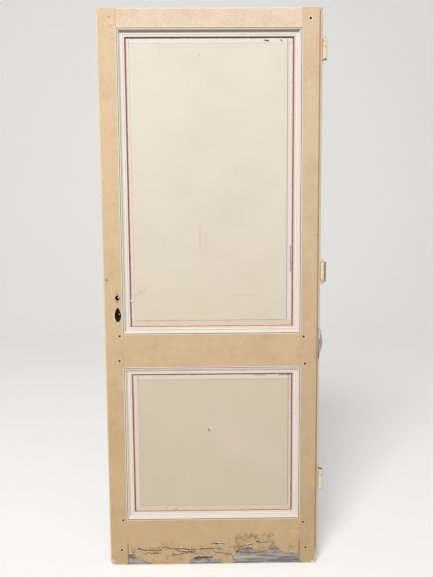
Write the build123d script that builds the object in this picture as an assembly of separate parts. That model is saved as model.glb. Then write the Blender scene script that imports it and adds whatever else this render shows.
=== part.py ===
from build123d import *
from math import cos, degrees, radians, sin, tan
import os

# Panelled door leaf, worked in millimetres.
# While it is drawn, x runs from the lock edge to the hinge edge, z up from the foot,
# and y from the front (negative) to the back (positive) of the leaf.
# At the end every piece is moved so that the origin is on the hinge axis,
# at the mouth of the lower hinge's socket.

# Leaf
LEAF_WIDTH = 800.0
LEAF_HEIGHT = 2057.0
LEAF_THICKNESS = 40.0
FRONT = -LEAF_THICKNESS / 2
BACK = LEAF_THICKNESS / 2

# Flat faces of the stiles and rails, up to where the moulding starts
LOCK_STILE_FACE = 70.0
HINGE_STILE_FACE = 74.0
TOP_RAIL_FACE = 67.0
LOCK_RAIL_LOW = 772.0
LOCK_RAIL_HIGH = 900.0
BOTTOM_RAIL_FACE = 181.0
HINGE_STILE_START = LEAF_WIDTH - HINGE_STILE_FACE
TOP_RAIL_START = LEAF_HEIGHT - TOP_RAIL_FACE

# Moulding stuck on the inner edges, as distances inward and depths from the face
QUIRK_WIDTH = 1.6
QUIRK_DEPTH = 1.4
OUTER_FILLET_END = 5.0
OUTER_FILLET_DEPTH = 0.4
CAVETTO_START_DEPTH = 1.6
CAVETTO_RADIUS = 9.0
BEAD_RADIUS = 3.0
INNER_FILLET_DEPTH = 10.0
MOULD_WIDTH = 25.5
PANEL_EDGE_DEPTH = 14.0
GROOVE_DEPTH = 12.0

# Radius of the long outer arrises
LOCK_ARRIS = 4.0
HINGE_ARRIS = 8.0
BACK_ARRIS = 2.0
RAIL_ARRIS = 2.0

# Worn corners of the outline, as width and height
LOCK_TOP_WEAR = (18.0, 25.0)
LOCK_FOOT_WEAR = (25.0, 25.0)
HINGE_TOP_WEAR = (6.0, 6.0)
HINGE_FOOT_WEAR = (8.0, 70.0)
HINGE_FOOT_ROUND = 5.0

# Panels
TONGUE_REACH = 8.0
TONGUE_CLEARANCE = 0.1
TONGUE_FLAT = 12.3
SIDE_MARGIN = 21.0
END_MARGIN = 24.5
BEVEL_RISE = 1.6
FIELD_DEPTH = 10.0
UPPER_PANEL_SHIFT = -3.7
LOWER_PANEL_SHIFT = 3.7

# Mortise joints: the lowest and highest level of each through tenon
TENON_THICKNESS = 13.0
TENONS_TOP = [(1978.0, 2040.0)]
TENONS_LOCK = [(858.0, 908.0), (764.0, 815.0)]
TENONS_BOTTOM = [(140.0, 193.0), (30.0, 92.0)]
TENON_ROOT = 40.0
WEDGE_THICK = 4.5
WEDGE_TIP = 0.8
WEDGE_LENGTH = 55.0

# Pegs: centre in x and z, and how far the head is sunk below the face
PEG_RADIUS = 4.0
PEG_SIDES = 8
PEG_FIT = 0.03
PEG_BACK_SUNK = 0.5
PEGS = [
    (45.5, 2026.0, 0.2),
    (56.0, 893.0, 0.8),
    (53.6, 800.0, 0.8),
    (52.6, 180.0, 0.8),
    (44.8, 60.0, 0.8),
    (739.0, 886.0, 9.0),
    (745.0, 783.5, 1.5),
    (742.0, 165.0, 0.8),
    (752.7, 62.5, 0.8),
]
MISSING_PEG = (755.8, 2020.0)

# Where the lock works
LOCK_AXIS_X = 51.3
SPINDLE_Z = 1035.0
KEY_Z = 972.0

# Holes in the lock stile
SPINDLE_HOLE_RADIUS = 9.0
ROSE_SCREW_RADIUS = 1.2
ROSE_SCREW_DEPTH = 9.0
ROSE_SCREWS_Z = (1047.0, 1020.5)
CUTOUT_TOP = 1001.4
CUTOUT_WIDEST = 967.0
CUTOUT_BOTTOM = 943.7
CUTOUT_HALF = 12.7
CUTOUT_FULLNESS = 0.86
BACK_KEYHOLE_RADIUS = 5.5
BACK_KEYHOLE_SLOT = 6.5
BACK_KEYHOLE_DROP = 20.0

# Lock case and its plate on the edge
FOREND_LOW = 936.0
FOREND_HIGH = 1073.0
FOREND_WIDTH = 20.0
FOREND_THICK = 2.5
FOREND_SCREW_INSET = 5.5
CASE_LOW = 947.0
CASE_HIGH = 1062.0
CASE_END = 77.0
CASE_HALF = 7.0
CASE_WALL = 1.5
INNER_HALF = CASE_HALF - CASE_WALL
POCKET_CLEARANCE = 0.25
CASE_POSTS = [(12.0, 1055.0), (70.0, 954.0)]
CASE_POST_HALF = 3.0
KEYHOLE_RADIUS = 3.6
KEYHOLE_SLOT = 3.4
KEYHOLE_DROP = 13.0

# Follower: the hub that a square spindle turns, drawn with the handle turned
JOURNAL_RADIUS = 8.0
JOURNAL_CLEARANCE = 0.05
SPINDLE_SQUARE = 7.5
ARM_HALF = 3.0
ARM_REACH = 20.0
ARM_FRONT = -5.2
ARM_BACK = -0.8
HANDLE_TURN = 30.0

# Latch bolt, drawn in; its throw follows from the follower's arm and turn
LUG_RADIUS = 2.5
LUG_HEIGHT = 17.0
LUG_OFFSET = ARM_HALF + LUG_RADIUS + 0.5
LUG_TURNED = LUG_OFFSET / cos(radians(HANDLE_TURN)) + LUG_HEIGHT * tan(radians(HANDLE_TURN))
LATCH_THROW = LUG_TURNED - LUG_OFFSET
LATCH_HALF_HEIGHT = 12.0
LATCH_HALF_THICK = 5.3
LATCH_HEAD_LENGTH = 26.0
LATCH_BEVEL = 12.0
LATCH_NOSE = -1.0
FORK_FRONT = 0.8
FORK_BACK = 3.8
FORK_HALF_HEIGHT = 23.0
FORK_INNER = 9.8
FORK_START = 28.0
FORK_END = LOCK_AXIS_X + LUG_TURNED + LUG_RADIUS + 2.0
WINDOW_GAP = 0.2

# Dead bolt, drawn in
BOLT_THROW = 14.0
BOLT_LOW = 985.0
BOLT_HIGH = 1007.0
BOLT_HALF_THICK = 4.8
BOLT_HEAD_LENGTH = 30.0
BOLT_TAIL_END = 68.0
BOLT_TAIL_HALF = 2.2
BOLT_TAIL_LOW = 986.0
BOLT_TAIL_HIGH = 1006.0
TALON_WIDTH = 6.0
TALON_TOP = 992.0
TALON_X = LOCK_AXIS_X + BOLT_THROW / 2
STUMP_X = 40.0
STUMP_Z = 998.0
STUMP_RADIUS = 2.5
STUMP_CLEARANCE = 0.15
DETENT_X = 50.0
DETENT_HALF = 3.0
DETENT_DEPTH = 1.5

# Springs, bent from flat strip
STRIP = 0.8
BOLT_SPRING_HALF = 1.8
BOLT_SPRING_LEVEL = 1009.2
BOLT_SPRING_NOSE = 1004.9
HAIRPIN_HALF = 2.3
HAIRPIN_Y = -2.7
HAIRPIN_FOOT = 1028.0
HAIRPIN_BEND = 1040.0
HAIRPIN_GAP = 0.2
CAP_LUG_X = 37.8
CAP_LUG_THICK = 1.6
CAP_LUG_HALF = 5.0
CAP_LUG_BACK = 0.3

# Hinges: every barrel is on one axis
HINGE_X = 805.8
HINGE_Y = FRONT - 4.5
TOP_BARREL = (1877.0, 1950.0)
MIDDLE_BARREL = (1089.0, 1162.0)
BOTTOM_BARREL = (301.0, 380.0)
TOP_LEAF_LOW = 1870.0
BOTTOM_LEAF_LOW = 307.0
LIFT_RADIUS = 7.0
LIFT_BORE_RADIUS = 4.1
LEAF_OUTER_X = 801.8
LEAF_THICK = 2.5
LEAF_REACH = 33.5
FINIAL_STUB = 13.0
FINIAL_STUB_RADIUS = 3.0
FINIAL_NECK = 3.0
TOP_TIP_RADIUS = 4.2
BOTTOM_TIP_RADIUS = 4.8
TIP_SIDES = 12
TIP_RINGS = (-55.0, -18.0, 22.0, 60.0)
BUTT_RADIUS = 6.5
BUTT_PIN_RADIUS = 3.5
BUTT_STUB = 6.5
COLLAR_THICK = 2.4
COLLAR_RADIUS = 6.0
PIN_TIP_RADIUS = 5.0
FOOT_COLLAR_RADIUS = 5.5
FOOT_TIP_RADIUS = 4.5
PIN_TIGHT = 0.02
PIN_RUNNING = 0.05
KNUCKLES = 5
KNUCKLE_GAP = 0.35
KNUCKLE_ROOM = 0.4
FRAME_LEAF_REACH = 36.0
FRAME_LEAF_ANGLE = 33.0
LEAF_CLEARANCE = 0.05

# Screws: radius under the head, head radius, length; the head is as deep as its plate
WOOD_SCREW = (2.0, 4.2, 27.0)
CAP_SCREW = (1.4, 2.6, 8.0)
SCREW_POINT = 0.4
SCREW_SIDES = 12
SCREW_FIT = 0.03
SCREW_NEAR = 15.5
SCREW_FAR = 27.0
SCREW_INSET = 12.0

# Splinter torn up from the hinge edge: outline as distance past the edge and height
SPLINTER = [
    (-3.0, 832.0),
    (-3.0, 856.0),
    (3.2, 880.0),
    (3.6, 896.0),
    (4.0, 911.0),
    (5.6, 898.0),
    (8.5, 884.0),
    (11.0, 866.0),
    (8.5, 848.0),
    (4.5, 832.0),
    (0.0, 822.0),
]
SPLINTER_FRONT = -17.0
SPLINTER_BACK = -9.0
TEAR = [(-3.0, 850.0), (-1.4, 912.0), (6.0, 922.0), (6.0, 850.0)]

# Extra length of cutting solids that run past a face
PAST = 5.0


def profile_face(edges):
    """Flat face bounded by a closed run of edges."""
    return make_face(edges)


def polyline(points):
    """Straight edges along an open run of points."""
    return [Line(a, b) for a, b in zip(points, points[1:])]


def polygon(points):
    """Straight edges round a closed run of points."""
    return polyline(points + points[:1])


def in_x_and_z(edges, start, end):
    """Outline drawn in x and z, run from start to end in y."""
    plane = Plane(origin=(0, start, 0), x_dir=(1, 0, 0), z_dir=(0, -1, 0))
    return extrude(plane * profile_face(edges), amount=end - start, dir=(0, 1, 0))


def block(x, y, z):
    """Box given by its lowest and highest value along each axis."""
    size = Box(x[1] - x[0], y[1] - y[0], z[1] - z[0])
    return Pos((x[0] + x[1]) / 2, (y[0] + y[1]) / 2, (z[0] + z[1]) / 2) * size


def bar(radius, length):
    """Round bar standing on the origin."""
    return Cylinder(radius, length, align=(Align.CENTER, Align.CENTER, Align.MIN))


def along_y(x, z, radius, start, end):
    """Round bar from one y to another."""
    return Pos(x, start, z) * Rot(-90, 0, 0) * bar(radius, end - start)


def along_z(radius, low, high):
    """Round bar on the hinge axis from one height to another."""
    return Pos(HINGE_X, HINGE_Y, low) * bar(radius, high - low)


def rings(sides, sizes):
    """Upright many-sided solid whose flat flanks run from one radius and height to the
    next."""
    turns = [radians(360 * (i + 0.5) / sides) for i in range(sides)]
    levels = [[(radius * cos(t), radius * sin(t), z) for t in turns] for radius, z in sizes]
    faces = [Face(Wire.make_polygon(levels[0])), Face(Wire.make_polygon(levels[-1]))]
    for low, high in zip(levels, levels[1:]):
        for i in range(sides):
            j = (i + 1) % sides
            faces.append(Face(Wire.make_polygon([low[i], low[j], high[j], high[i]])))
    return Solid(Shell(faces))


def prism_z(radius, low, high):
    """Many-sided bar on the hinge axis from one height to another."""
    return Pos(HINGE_X, HINGE_Y, 0) * rings(TIP_SIDES, [(radius, low), (radius, high)])


def ball_tip(radius, base, up):
    """Ball on its neck, on the hinge axis, from the neck's base to the tip. up is 1
    for a tip that points up and -1 for one that points down."""
    centre = FINIAL_NECK / 2 + radius
    sizes = [(radius * cos(radians(a)), centre + radius * sin(radians(a))) for a in TIP_RINGS]
    tip = rings(TIP_SIDES, [(FINIAL_NECK, 0)] + sizes)
    if up < 0:
        tip = Rot(180, 0, 0) * tip
    return Pos(HINGE_X, HINGE_Y, base) * tip


def screw(size, plate, grow=0.0):
    """Countersunk, tapering screw with its head at the origin and its point along +z,
    for a plate of the given thickness. grow makes the hole that it sits in."""
    radius, head, length = size
    point = (SCREW_POINT * radius + grow, length + grow)
    return rings(SCREW_SIDES, [(head + grow, 0), (radius + grow, plate), point])


def pointing(shape, place, direction):
    """Shape drawn along +z, set at a place and turned to a direction."""
    return Plane(origin=place, z_dir=direction) * shape


def quarter_cove(start):
    """Three points of the cavetto's arc. start is where it begins, seen from the flat
    face's edge."""
    end = start + CAVETTO_RADIUS
    floor = CAVETTO_START_DEPTH + CAVETTO_RADIUS
    bend = CAVETTO_RADIUS * (1 - sin(radians(45)))
    return [(start, CAVETTO_START_DEPTH), (start + bend, floor - bend), (end, floor)]


def moulded_side(u, out):
    """Side run of a member from its front face to its back face: the stuck moulding
    on the front, the panel groove, and a plain cove on the back. u is where the flat
    face ends and out is the direction of the panel."""
    groove_end = MOULD_WIDTH - GROOVE_DEPTH
    floor = CAVETTO_START_DEPTH + CAVETTO_RADIUS
    bead_start = OUTER_FILLET_END + CAVETTO_RADIUS
    bead_end = bead_start + 2 * BEAD_RADIUS
    fillet_start = bead_end + QUIRK_WIDTH / 2
    lip = [
        (0.0, 0.0),
        (QUIRK_WIDTH / 4, QUIRK_DEPTH),
        (QUIRK_WIDTH, QUIRK_DEPTH),
        (QUIRK_WIDTH, OUTER_FILLET_DEPTH),
        (OUTER_FILLET_END, OUTER_FILLET_DEPTH),
        (OUTER_FILLET_END, CAVETTO_START_DEPTH),
    ]
    bead = [
        (bead_start, floor),
        (bead_start + BEAD_RADIUS, floor - BEAD_RADIUS),
        (bead_end, floor),
    ]
    groove = [
        (MOULD_WIDTH, PANEL_EDGE_DEPTH),
        (groove_end, PANEL_EDGE_DEPTH),
        (groove_end, LEAF_THICKNESS / 2),
    ]
    fillet = [
        (bead_end, floor),
        (fillet_start, floor),
        (fillet_start, INNER_FILLET_DEPTH),
        (MOULD_WIDTH, INNER_FILLET_DEPTH),
    ]

    def seen(face, into, points):
        """Points of the profile, set on one face of the leaf."""
        return [(u + out * s, face + into * d) for s, d in points]

    edges = polyline(seen(FRONT, 1, lip))
    edges.append(ThreePointArc(*seen(FRONT, 1, quarter_cove(OUTER_FILLET_END))))
    edges.append(ThreePointArc(*seen(FRONT, 1, bead)))
    edges += polyline(seen(FRONT, 1, fillet + groove))
    edges += polyline(seen(BACK, -1, [(0.0, 0.0), (0.0, CAVETTO_START_DEPTH)]))
    edges.append(ThreePointArc(*seen(BACK, -1, quarter_cove(0.0))))
    edges += polyline(seen(BACK, -1, [(CAVETTO_RADIUS, floor), (MOULD_WIDTH, floor)] + groove))
    return edges, u, u


def plain_side(u, out, front_radius, back_radius):
    """Side run of a member's plain edge, with both arrises rounded."""

    def arris(radius, face, into):
        c = radius * (1 - cos(radians(45)))
        return ThreePointArc(
            (u - out * radius, face),
            (u - out * c, face + into * c),
            (u, face + into * radius),
        )

    straight = Line((u, FRONT + front_radius), (u, BACK - back_radius))
    edges = [arris(front_radius, FRONT, 1), straight, arris(back_radius, BACK, -1)]
    return edges, u - out * front_radius, u - out * back_radius


def member_face(side_a, side_b):
    """Cross-section of a member between two side runs, each given with the places
    where it meets the front and the back face."""
    edges_a, front_a, back_a = side_a
    edges_b, front_b, back_b = side_b
    front = Line((front_a, FRONT), (front_b, FRONT))
    back = Line((back_a, BACK), (back_b, BACK))
    return profile_face(edges_a + edges_b + [front, back])


def upright(section):
    """Section drawn in x and y, run from below the foot to above the top."""
    run = extrude(section, amount=LEAF_HEIGHT + 2 * PAST, dir=(0, 0, 1))
    return Pos(0, 0, -PAST) * run


def crosswise(section):
    """Section drawn as height and depth, run across the whole leaf along x."""
    plane = Plane(origin=(-PAST, 0, 0), x_dir=(0, 0, 1), z_dir=(-1, 0, 0))
    return extrude(plane * section, amount=LEAF_WIDTH + 2 * PAST, dir=(1, 0, 0))


def through_leaf(edges):
    """Outline drawn in x and z, run through the whole thickness of the leaf."""
    return in_x_and_z(edges, FRONT - PAST, BACK + PAST)


def inner_steps(face, towards):
    """Corner points of a stile's inner edge from foot to top, with the end of each
    moulding mitred at 45 degrees. face is where the moulding starts."""
    reach = MOULD_WIDTH + PAST
    past = face + towards * reach
    return [
        (face, 0.0),
        (face, BOTTOM_RAIL_FACE),
        (past, BOTTOM_RAIL_FACE + reach),
        (past, LOCK_RAIL_LOW - reach),
        (face, LOCK_RAIL_LOW),
        (face, LOCK_RAIL_HIGH),
        (past, LOCK_RAIL_HIGH + reach),
        (past, TOP_RAIL_START - reach),
        (face, TOP_RAIL_START),
        (face, LEAF_HEIGHT),
    ]


def worn_corner(x, z, wear, into_x, into_z):
    """Rounded wear of an outer corner, as the edge that replaces it. into_x and
    into_z point from the corner into the leaf."""
    wide, tall = wear
    c = 1 - cos(radians(45))
    return ThreePointArc(
        (x, z + into_z * tall),
        (x + into_x * wide * c, z + into_z * tall * c),
        (x + into_x * wide, z),
    )


def lock_stile_outline():
    """Outline of the lock stile with its two worn outer corners."""
    steps = inner_steps(LOCK_STILE_FACE, 1)
    return polyline(steps) + [
        Line(steps[0], (LOCK_FOOT_WEAR[0], 0)),
        worn_corner(0, 0, LOCK_FOOT_WEAR, 1, 1),
        Line((0, LOCK_FOOT_WEAR[1]), (0, LEAF_HEIGHT - LOCK_TOP_WEAR[1])),
        worn_corner(0, LEAF_HEIGHT, LOCK_TOP_WEAR, 1, -1),
        Line((LOCK_TOP_WEAR[0], LEAF_HEIGHT), steps[-1]),
    ]


def hinge_stile_outline():
    """Outline of the hinge stile with its rubbed-away foot."""
    wide, tall = HINGE_FOOT_WEAR
    foot_x = LEAF_WIDTH - wide
    steps = inner_steps(HINGE_STILE_START, -1)
    return polyline(steps) + [
        Line(steps[0], (foot_x - HINGE_FOOT_ROUND, 0)),
        worn_corner(foot_x, 0, (HINGE_FOOT_ROUND, HINGE_FOOT_ROUND), -1, 1),
        Line((foot_x, HINGE_FOOT_ROUND), (LEAF_WIDTH, tall)),
        Line((LEAF_WIDTH, tall), (LEAF_WIDTH, LEAF_HEIGHT - HINGE_TOP_WEAR[1])),
        worn_corner(LEAF_WIDTH, LEAF_HEIGHT, HINGE_TOP_WEAR, -1, -1),
        Line((LEAF_WIDTH - HINGE_TOP_WEAR[0], LEAF_HEIGHT), steps[-1]),
    ]


def rail_outline(low, high, mould_low, mould_high):
    """Outline of a rail between the stiles, mitred where it carries a moulding."""
    left = LOCK_STILE_FACE
    right = HINGE_STILE_START
    reach = MOULD_WIDTH + PAST
    points = [(left, low), (left, high)]
    if mould_high:
        points += [(left + reach, high + reach), (right - reach, high + reach)]
    points += [(right, high), (right, low)]
    if mould_low:
        points += [(right - reach, low - reach), (left + reach, low - reach)]
    return polygon(points)


def tenons(spans):
    """Through tenons at both ends of a rail."""
    half = TENON_THICKNESS / 2
    left = (0.0, LOCK_STILE_FACE + TENON_ROOT)
    right = (HINGE_STILE_START - TENON_ROOT, LEAF_WIDTH)
    return [block(x, (-half, half), span) for span in spans for x in (left, right)]


def wedge(edge_x, into, z, up):
    """Wedge driven beside a tenon from the leaf's edge."""
    tip_x = edge_x + into * WEDGE_LENGTH
    points = [(edge_x, z), (edge_x, z + up * WEDGE_THICK), (tip_x, z + up * WEDGE_TIP), (tip_x, z)]
    return in_x_and_z(polygon(points), -TENON_THICKNESS / 2, TENON_THICKNESS / 2)


def all_wedges():
    """Two wedges to every through tenon."""
    pieces = []
    for low, high in TENONS_TOP + TENONS_LOCK + TENONS_BOTTOM:
        for edge_x, into in ((0.0, 1), (LEAF_WIDTH, -1)):
            pieces += [wedge(edge_x, into, high, 1), wedge(edge_x, into, low, -1)]
    return pieces


def mortises():
    """Everything that the tenons and their wedges take out of the stiles."""
    return tenons(TENONS_TOP + TENONS_LOCK + TENONS_BOTTOM) + all_wedges()


def peg(x, z, radius, start, end):
    """Eight-sided riven peg from one y to another."""
    turns = [360 * (i + 0.5) / PEG_SIDES for i in range(PEG_SIDES)]
    corners = [(x + radius * cos(radians(t)), z + radius * sin(radians(t))) for t in turns]
    return in_x_and_z(polygon(corners), start, end)


def peg_holes():
    """Holes right through for every peg. Each has taken its peg's form, and the one
    whose peg is lost is round, as it was bored."""
    radius = PEG_RADIUS + PEG_FIT
    holes = [peg(x, z, radius, FRONT - PAST, BACK + PAST) for x, z, _ in PEGS]
    return holes + [along_y(*MISSING_PEG, radius, FRONT - PAST, BACK + PAST)]


def joint_pegs():
    """Pegs still in place, each with its head at or below the face."""
    return [peg(x, z, PEG_RADIUS, FRONT + sunk, BACK - PEG_BACK_SUNK) for x, z, sunk in PEGS]


def keyhole_cutout():
    """Hand-cut opening round the keyhole, pointed at both ends."""
    x = LOCK_AXIS_X
    upper = (CUTOUT_TOP + 2 * CUTOUT_WIDEST) / 3
    lower = (CUTOUT_BOTTOM + 2 * CUTOUT_WIDEST) / 3
    edges = []
    for side in (-CUTOUT_HALF, CUTOUT_HALF):
        widest = (x + side, CUTOUT_WIDEST)
        full = x + side * CUTOUT_FULLNESS
        edges.append(ThreePointArc((x, CUTOUT_TOP), (full, upper), widest))
        edges.append(ThreePointArc(widest, (full, lower), (x, CUTOUT_BOTTOM)))
    return edges


def keyhole(radius, slot, drop, start, end):
    """Keyhole shape: a round hole over a straight slot, run from start to end in y."""
    x = LOCK_AXIS_X
    hole = along_y(x, KEY_Z, radius, start, end)
    return hole + block((x - slot / 2, x + slot / 2), (start, end), (KEY_Z - drop, KEY_Z))


def forend_screw_places():
    """Where the two forend screws enter the edge."""
    heights = (FOREND_LOW + FOREND_SCREW_INSET, FOREND_HIGH - FOREND_SCREW_INSET)
    return [(0.0, 0.0, z) for z in heights]


def lock_cuts():
    """Everything cut out of the lock stile for the lock and its furniture."""
    gap = POCKET_CLEARANCE
    half = FOREND_WIDTH / 2
    cuts = [
        block(
            (FOREND_THICK - gap, CASE_END + gap),
            (-CASE_HALF - gap, CASE_HALF + gap),
            (CASE_LOW - gap, CASE_HIGH + gap),
        ),
        block((-PAST, FOREND_THICK), (-half, half), (FOREND_LOW, FOREND_HIGH)),
        along_y(LOCK_AXIS_X, SPINDLE_Z, SPINDLE_HOLE_RADIUS, FRONT - PAST, BACK + PAST),
        in_x_and_z(keyhole_cutout(), FRONT - PAST, 0),
        keyhole(BACK_KEYHOLE_RADIUS, BACK_KEYHOLE_SLOT, BACK_KEYHOLE_DROP, 0, BACK + PAST),
    ]
    rose_end = FRONT + ROSE_SCREW_DEPTH
    for z in ROSE_SCREWS_Z:
        cuts.append(along_y(LOCK_AXIS_X, z, ROSE_SCREW_RADIUS, FRONT - PAST, rose_end))
    hole = screw(WOOD_SCREW, FOREND_THICK, SCREW_FIT)
    cuts += [pointing(hole, place, (1, 0, 0)) for place in forend_screw_places()]
    return cuts


def lock_stile():
    """Left stile with its moulding, mortises, lock pocket and worn corners."""
    section = member_face(
        plain_side(0.0, -1, LOCK_ARRIS, LOCK_ARRIS), moulded_side(LOCK_STILE_FACE, 1)
    )
    body = upright(section) & through_leaf(lock_stile_outline())
    for cut in mortises() + lock_cuts() + peg_holes():
        body -= cut
    return body


def hinge_screw_places(low, high):
    """Where a hinge leaf's three screws enter, in a zigzag."""
    near = HINGE_Y + SCREW_NEAR
    far = HINGE_Y + SCREW_FAR
    levels = [(near, low + SCREW_INSET), (far, (low + high) / 2), (near, high - SCREW_INSET)]
    return [(LEAF_OUTER_X, y, z) for y, z in levels]


def leaf_screws(low, high, grow=0.0):
    """The three screws of a hinge leaf, or the holes that they sit in."""
    one = screw(WOOD_SCREW, LEAF_THICK, grow)
    return [pointing(one, place, (-1, 0, 0)) for place in hinge_screw_places(low, high)]


def hinge_screws():
    """The screws of all three hinges."""
    return [one for span in (TOP_BARREL, MIDDLE_BARREL, BOTTOM_BARREL) for one in leaf_screws(*span)]


def leaf_recess(low, high):
    """Shallow recess for a hinge leaf in the stile's edge, open to the front."""
    x = (LEAF_OUTER_X - LEAF_THICK, LEAF_WIDTH + PAST)
    y = (FRONT - PAST, HINGE_Y + LEAF_REACH + LEAF_CLEARANCE)
    return block(x, y, (low - LEAF_CLEARANCE, high + LEAF_CLEARANCE))


def hinge_cuts():
    """Recesses and screw holes of the three hinges."""
    cuts = [
        leaf_recess(TOP_LEAF_LOW, TOP_BARREL[1]),
        leaf_recess(*MIDDLE_BARREL),
        leaf_recess(BOTTOM_LEAF_LOW, BOTTOM_BARREL[1]),
    ]
    for low, high in (TOP_BARREL, MIDDLE_BARREL, BOTTOM_BARREL):
        cuts += leaf_screws(low, high, SCREW_FIT)
    return cuts


def hinge_stile():
    """Right stile with its moulding, mortises, hinge recesses, splinter and worn foot."""
    section = member_face(
        plain_side(LEAF_WIDTH, 1, HINGE_ARRIS, BACK_ARRIS), moulded_side(HINGE_STILE_START, -1)
    )
    body = upright(section) & through_leaf(hinge_stile_outline())
    scar = [(LEAF_WIDTH + past, z) for past, z in TEAR]
    sliver = [(LEAF_WIDTH + past, z) for past, z in SPLINTER]
    body -= in_x_and_z(polygon(scar), FRONT - PAST, SPLINTER_BACK + 2)
    body += in_x_and_z(polygon(sliver), SPLINTER_FRONT, SPLINTER_BACK)
    for cut in mortises() + hinge_cuts() + peg_holes():
        body -= cut
    return body


def rail(low_side, high_side, outline, spans):
    """Rail with its tenons, bored for the pegs."""
    body = crosswise(member_face(low_side, high_side)) & through_leaf(outline)
    for piece in tenons(spans):
        body += piece
    for hole in peg_holes():
        body -= hole
    return body


def top_rail():
    """Rail along the top edge."""
    return rail(
        moulded_side(TOP_RAIL_START, -1),
        plain_side(LEAF_HEIGHT, 1, RAIL_ARRIS, RAIL_ARRIS),
        rail_outline(TOP_RAIL_START, LEAF_HEIGHT + PAST, True, False),
        TENONS_TOP,
    )


def lock_rail():
    """Rail between the two panels."""
    return rail(
        moulded_side(LOCK_RAIL_LOW, -1),
        moulded_side(LOCK_RAIL_HIGH, 1),
        rail_outline(LOCK_RAIL_LOW, LOCK_RAIL_HIGH, True, True),
        TENONS_LOCK,
    )


def bottom_rail():
    """Deep rail along the foot."""
    return rail(
        plain_side(0.0, -1, RAIL_ARRIS, RAIL_ARRIS),
        moulded_side(BOTTOM_RAIL_FACE, 1),
        rail_outline(-PAST, BOTTOM_RAIL_FACE, False, True),
        TENONS_BOTTOM,
    )


def rectangle_at(x, z, wide, tall, y):
    """Flat rectangle facing the front, centred at x and z."""
    plane = Plane(origin=(x, y, z), x_dir=(1, 0, 0), z_dir=(0, -1, 0))
    return plane * Rectangle(wide, tall)


def panel(low, high, shift):
    """Raised and fielded panel between two rails. low and high are where the rails'
    mouldings start, and shift is how far it has slipped sideways in its grooves."""
    sight_x = (LOCK_STILE_FACE + MOULD_WIDTH, HINGE_STILE_START - MOULD_WIDTH)
    sight_z = (low + MOULD_WIDTH, high - MOULD_WIDTH)
    sight_wide = sight_x[1] - sight_x[0]
    sight_tall = sight_z[1] - sight_z[0]
    x = sum(sight_x) / 2 + shift
    z = sum(sight_z) / 2
    wide = sight_wide + 2 * TONGUE_REACH
    tall = sight_tall + 2 * TONGUE_REACH
    field_wide = sight_wide - 2 * SIDE_MARGIN
    field_tall = sight_tall - 2 * END_MARGIN
    tongue_front = FRONT + PANEL_EDGE_DEPTH + TONGUE_CLEARANCE
    back = -tongue_front
    bevel_top = tongue_front - BEVEL_RISE
    foot = rectangle_at(x, z, wide - 2 * TONGUE_FLAT, tall - 2 * TONGUE_FLAT, tongue_front)
    crown = rectangle_at(x, z, field_wide, field_tall, bevel_top)
    tongue = block(
        (x - wide / 2, x + wide / 2), (tongue_front, back), (z - tall / 2, z + tall / 2)
    )
    field = block(
        (x - field_wide / 2, x + field_wide / 2),
        (FRONT + FIELD_DEPTH, 0),
        (z - field_tall / 2, z + field_tall / 2),
    )
    return tongue + loft([foot, crown]) + field


def journal_hole():
    """Hole in the case and cap that the follower turns in."""
    radius = JOURNAL_RADIUS + JOURNAL_CLEARANCE
    return along_y(LOCK_AXIS_X, SPINDLE_Z, radius, -CASE_HALF - PAST, CASE_HALF + PAST)


def case_keyhole():
    """Keyhole through the case and cap."""
    return keyhole(KEYHOLE_RADIUS, KEYHOLE_SLOT, KEYHOLE_DROP, -CASE_HALF - PAST, CASE_HALF + PAST)


def cap_screws(grow=0.0):
    """Screws that hold the cap on the case, or the holes that they sit in."""
    one = screw(CAP_SCREW, CASE_WALL, grow)
    return [pointing(one, (x, -CASE_HALF, z), (0, 1, 0)) for x, z in CASE_POSTS]


def lock_case():
    """Open box of the lock with its posts and the stump that guides the dead bolt."""
    x = (FOREND_THICK, CASE_END)
    depth = (-INNER_HALF, CASE_HALF)
    body = block(x, (INNER_HALF, CASE_HALF), (CASE_LOW, CASE_HIGH))
    body += block(x, depth, (CASE_LOW, CASE_LOW + CASE_WALL))
    body += block(x, depth, (CASE_HIGH - CASE_WALL, CASE_HIGH))
    body += block((CASE_END - CASE_WALL, CASE_END), depth, (CASE_LOW, CASE_HIGH))
    half = CASE_POST_HALF
    for post_x, post_z in CASE_POSTS:
        across = (post_x - half, post_x + half)
        body += block(across, (-INNER_HALF, INNER_HALF), (post_z - half, post_z + half))
    body += along_y(STUMP_X, STUMP_Z, STUMP_RADIUS, -INNER_HALF, INNER_HALF)
    for cut in [journal_hole(), case_keyhole()] + cap_screws(SCREW_FIT):
        body -= cut
    return body


def lock_cap():
    """Cover plate of the lock with the lug that the latch spring bears on."""
    x = (FOREND_THICK, CASE_END)
    body = block(x, (-CASE_HALF, -INNER_HALF), (CASE_LOW, CASE_HIGH))
    body += block(
        (CAP_LUG_X, CAP_LUG_X + CAP_LUG_THICK),
        (-INNER_HALF - CASE_WALL / 2, CAP_LUG_BACK),
        (SPINDLE_Z - CAP_LUG_HALF, SPINDLE_Z + CAP_LUG_HALF),
    )
    for cut in [journal_hole(), case_keyhole()] + cap_screws(SCREW_FIT):
        body -= cut
    return body


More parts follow.
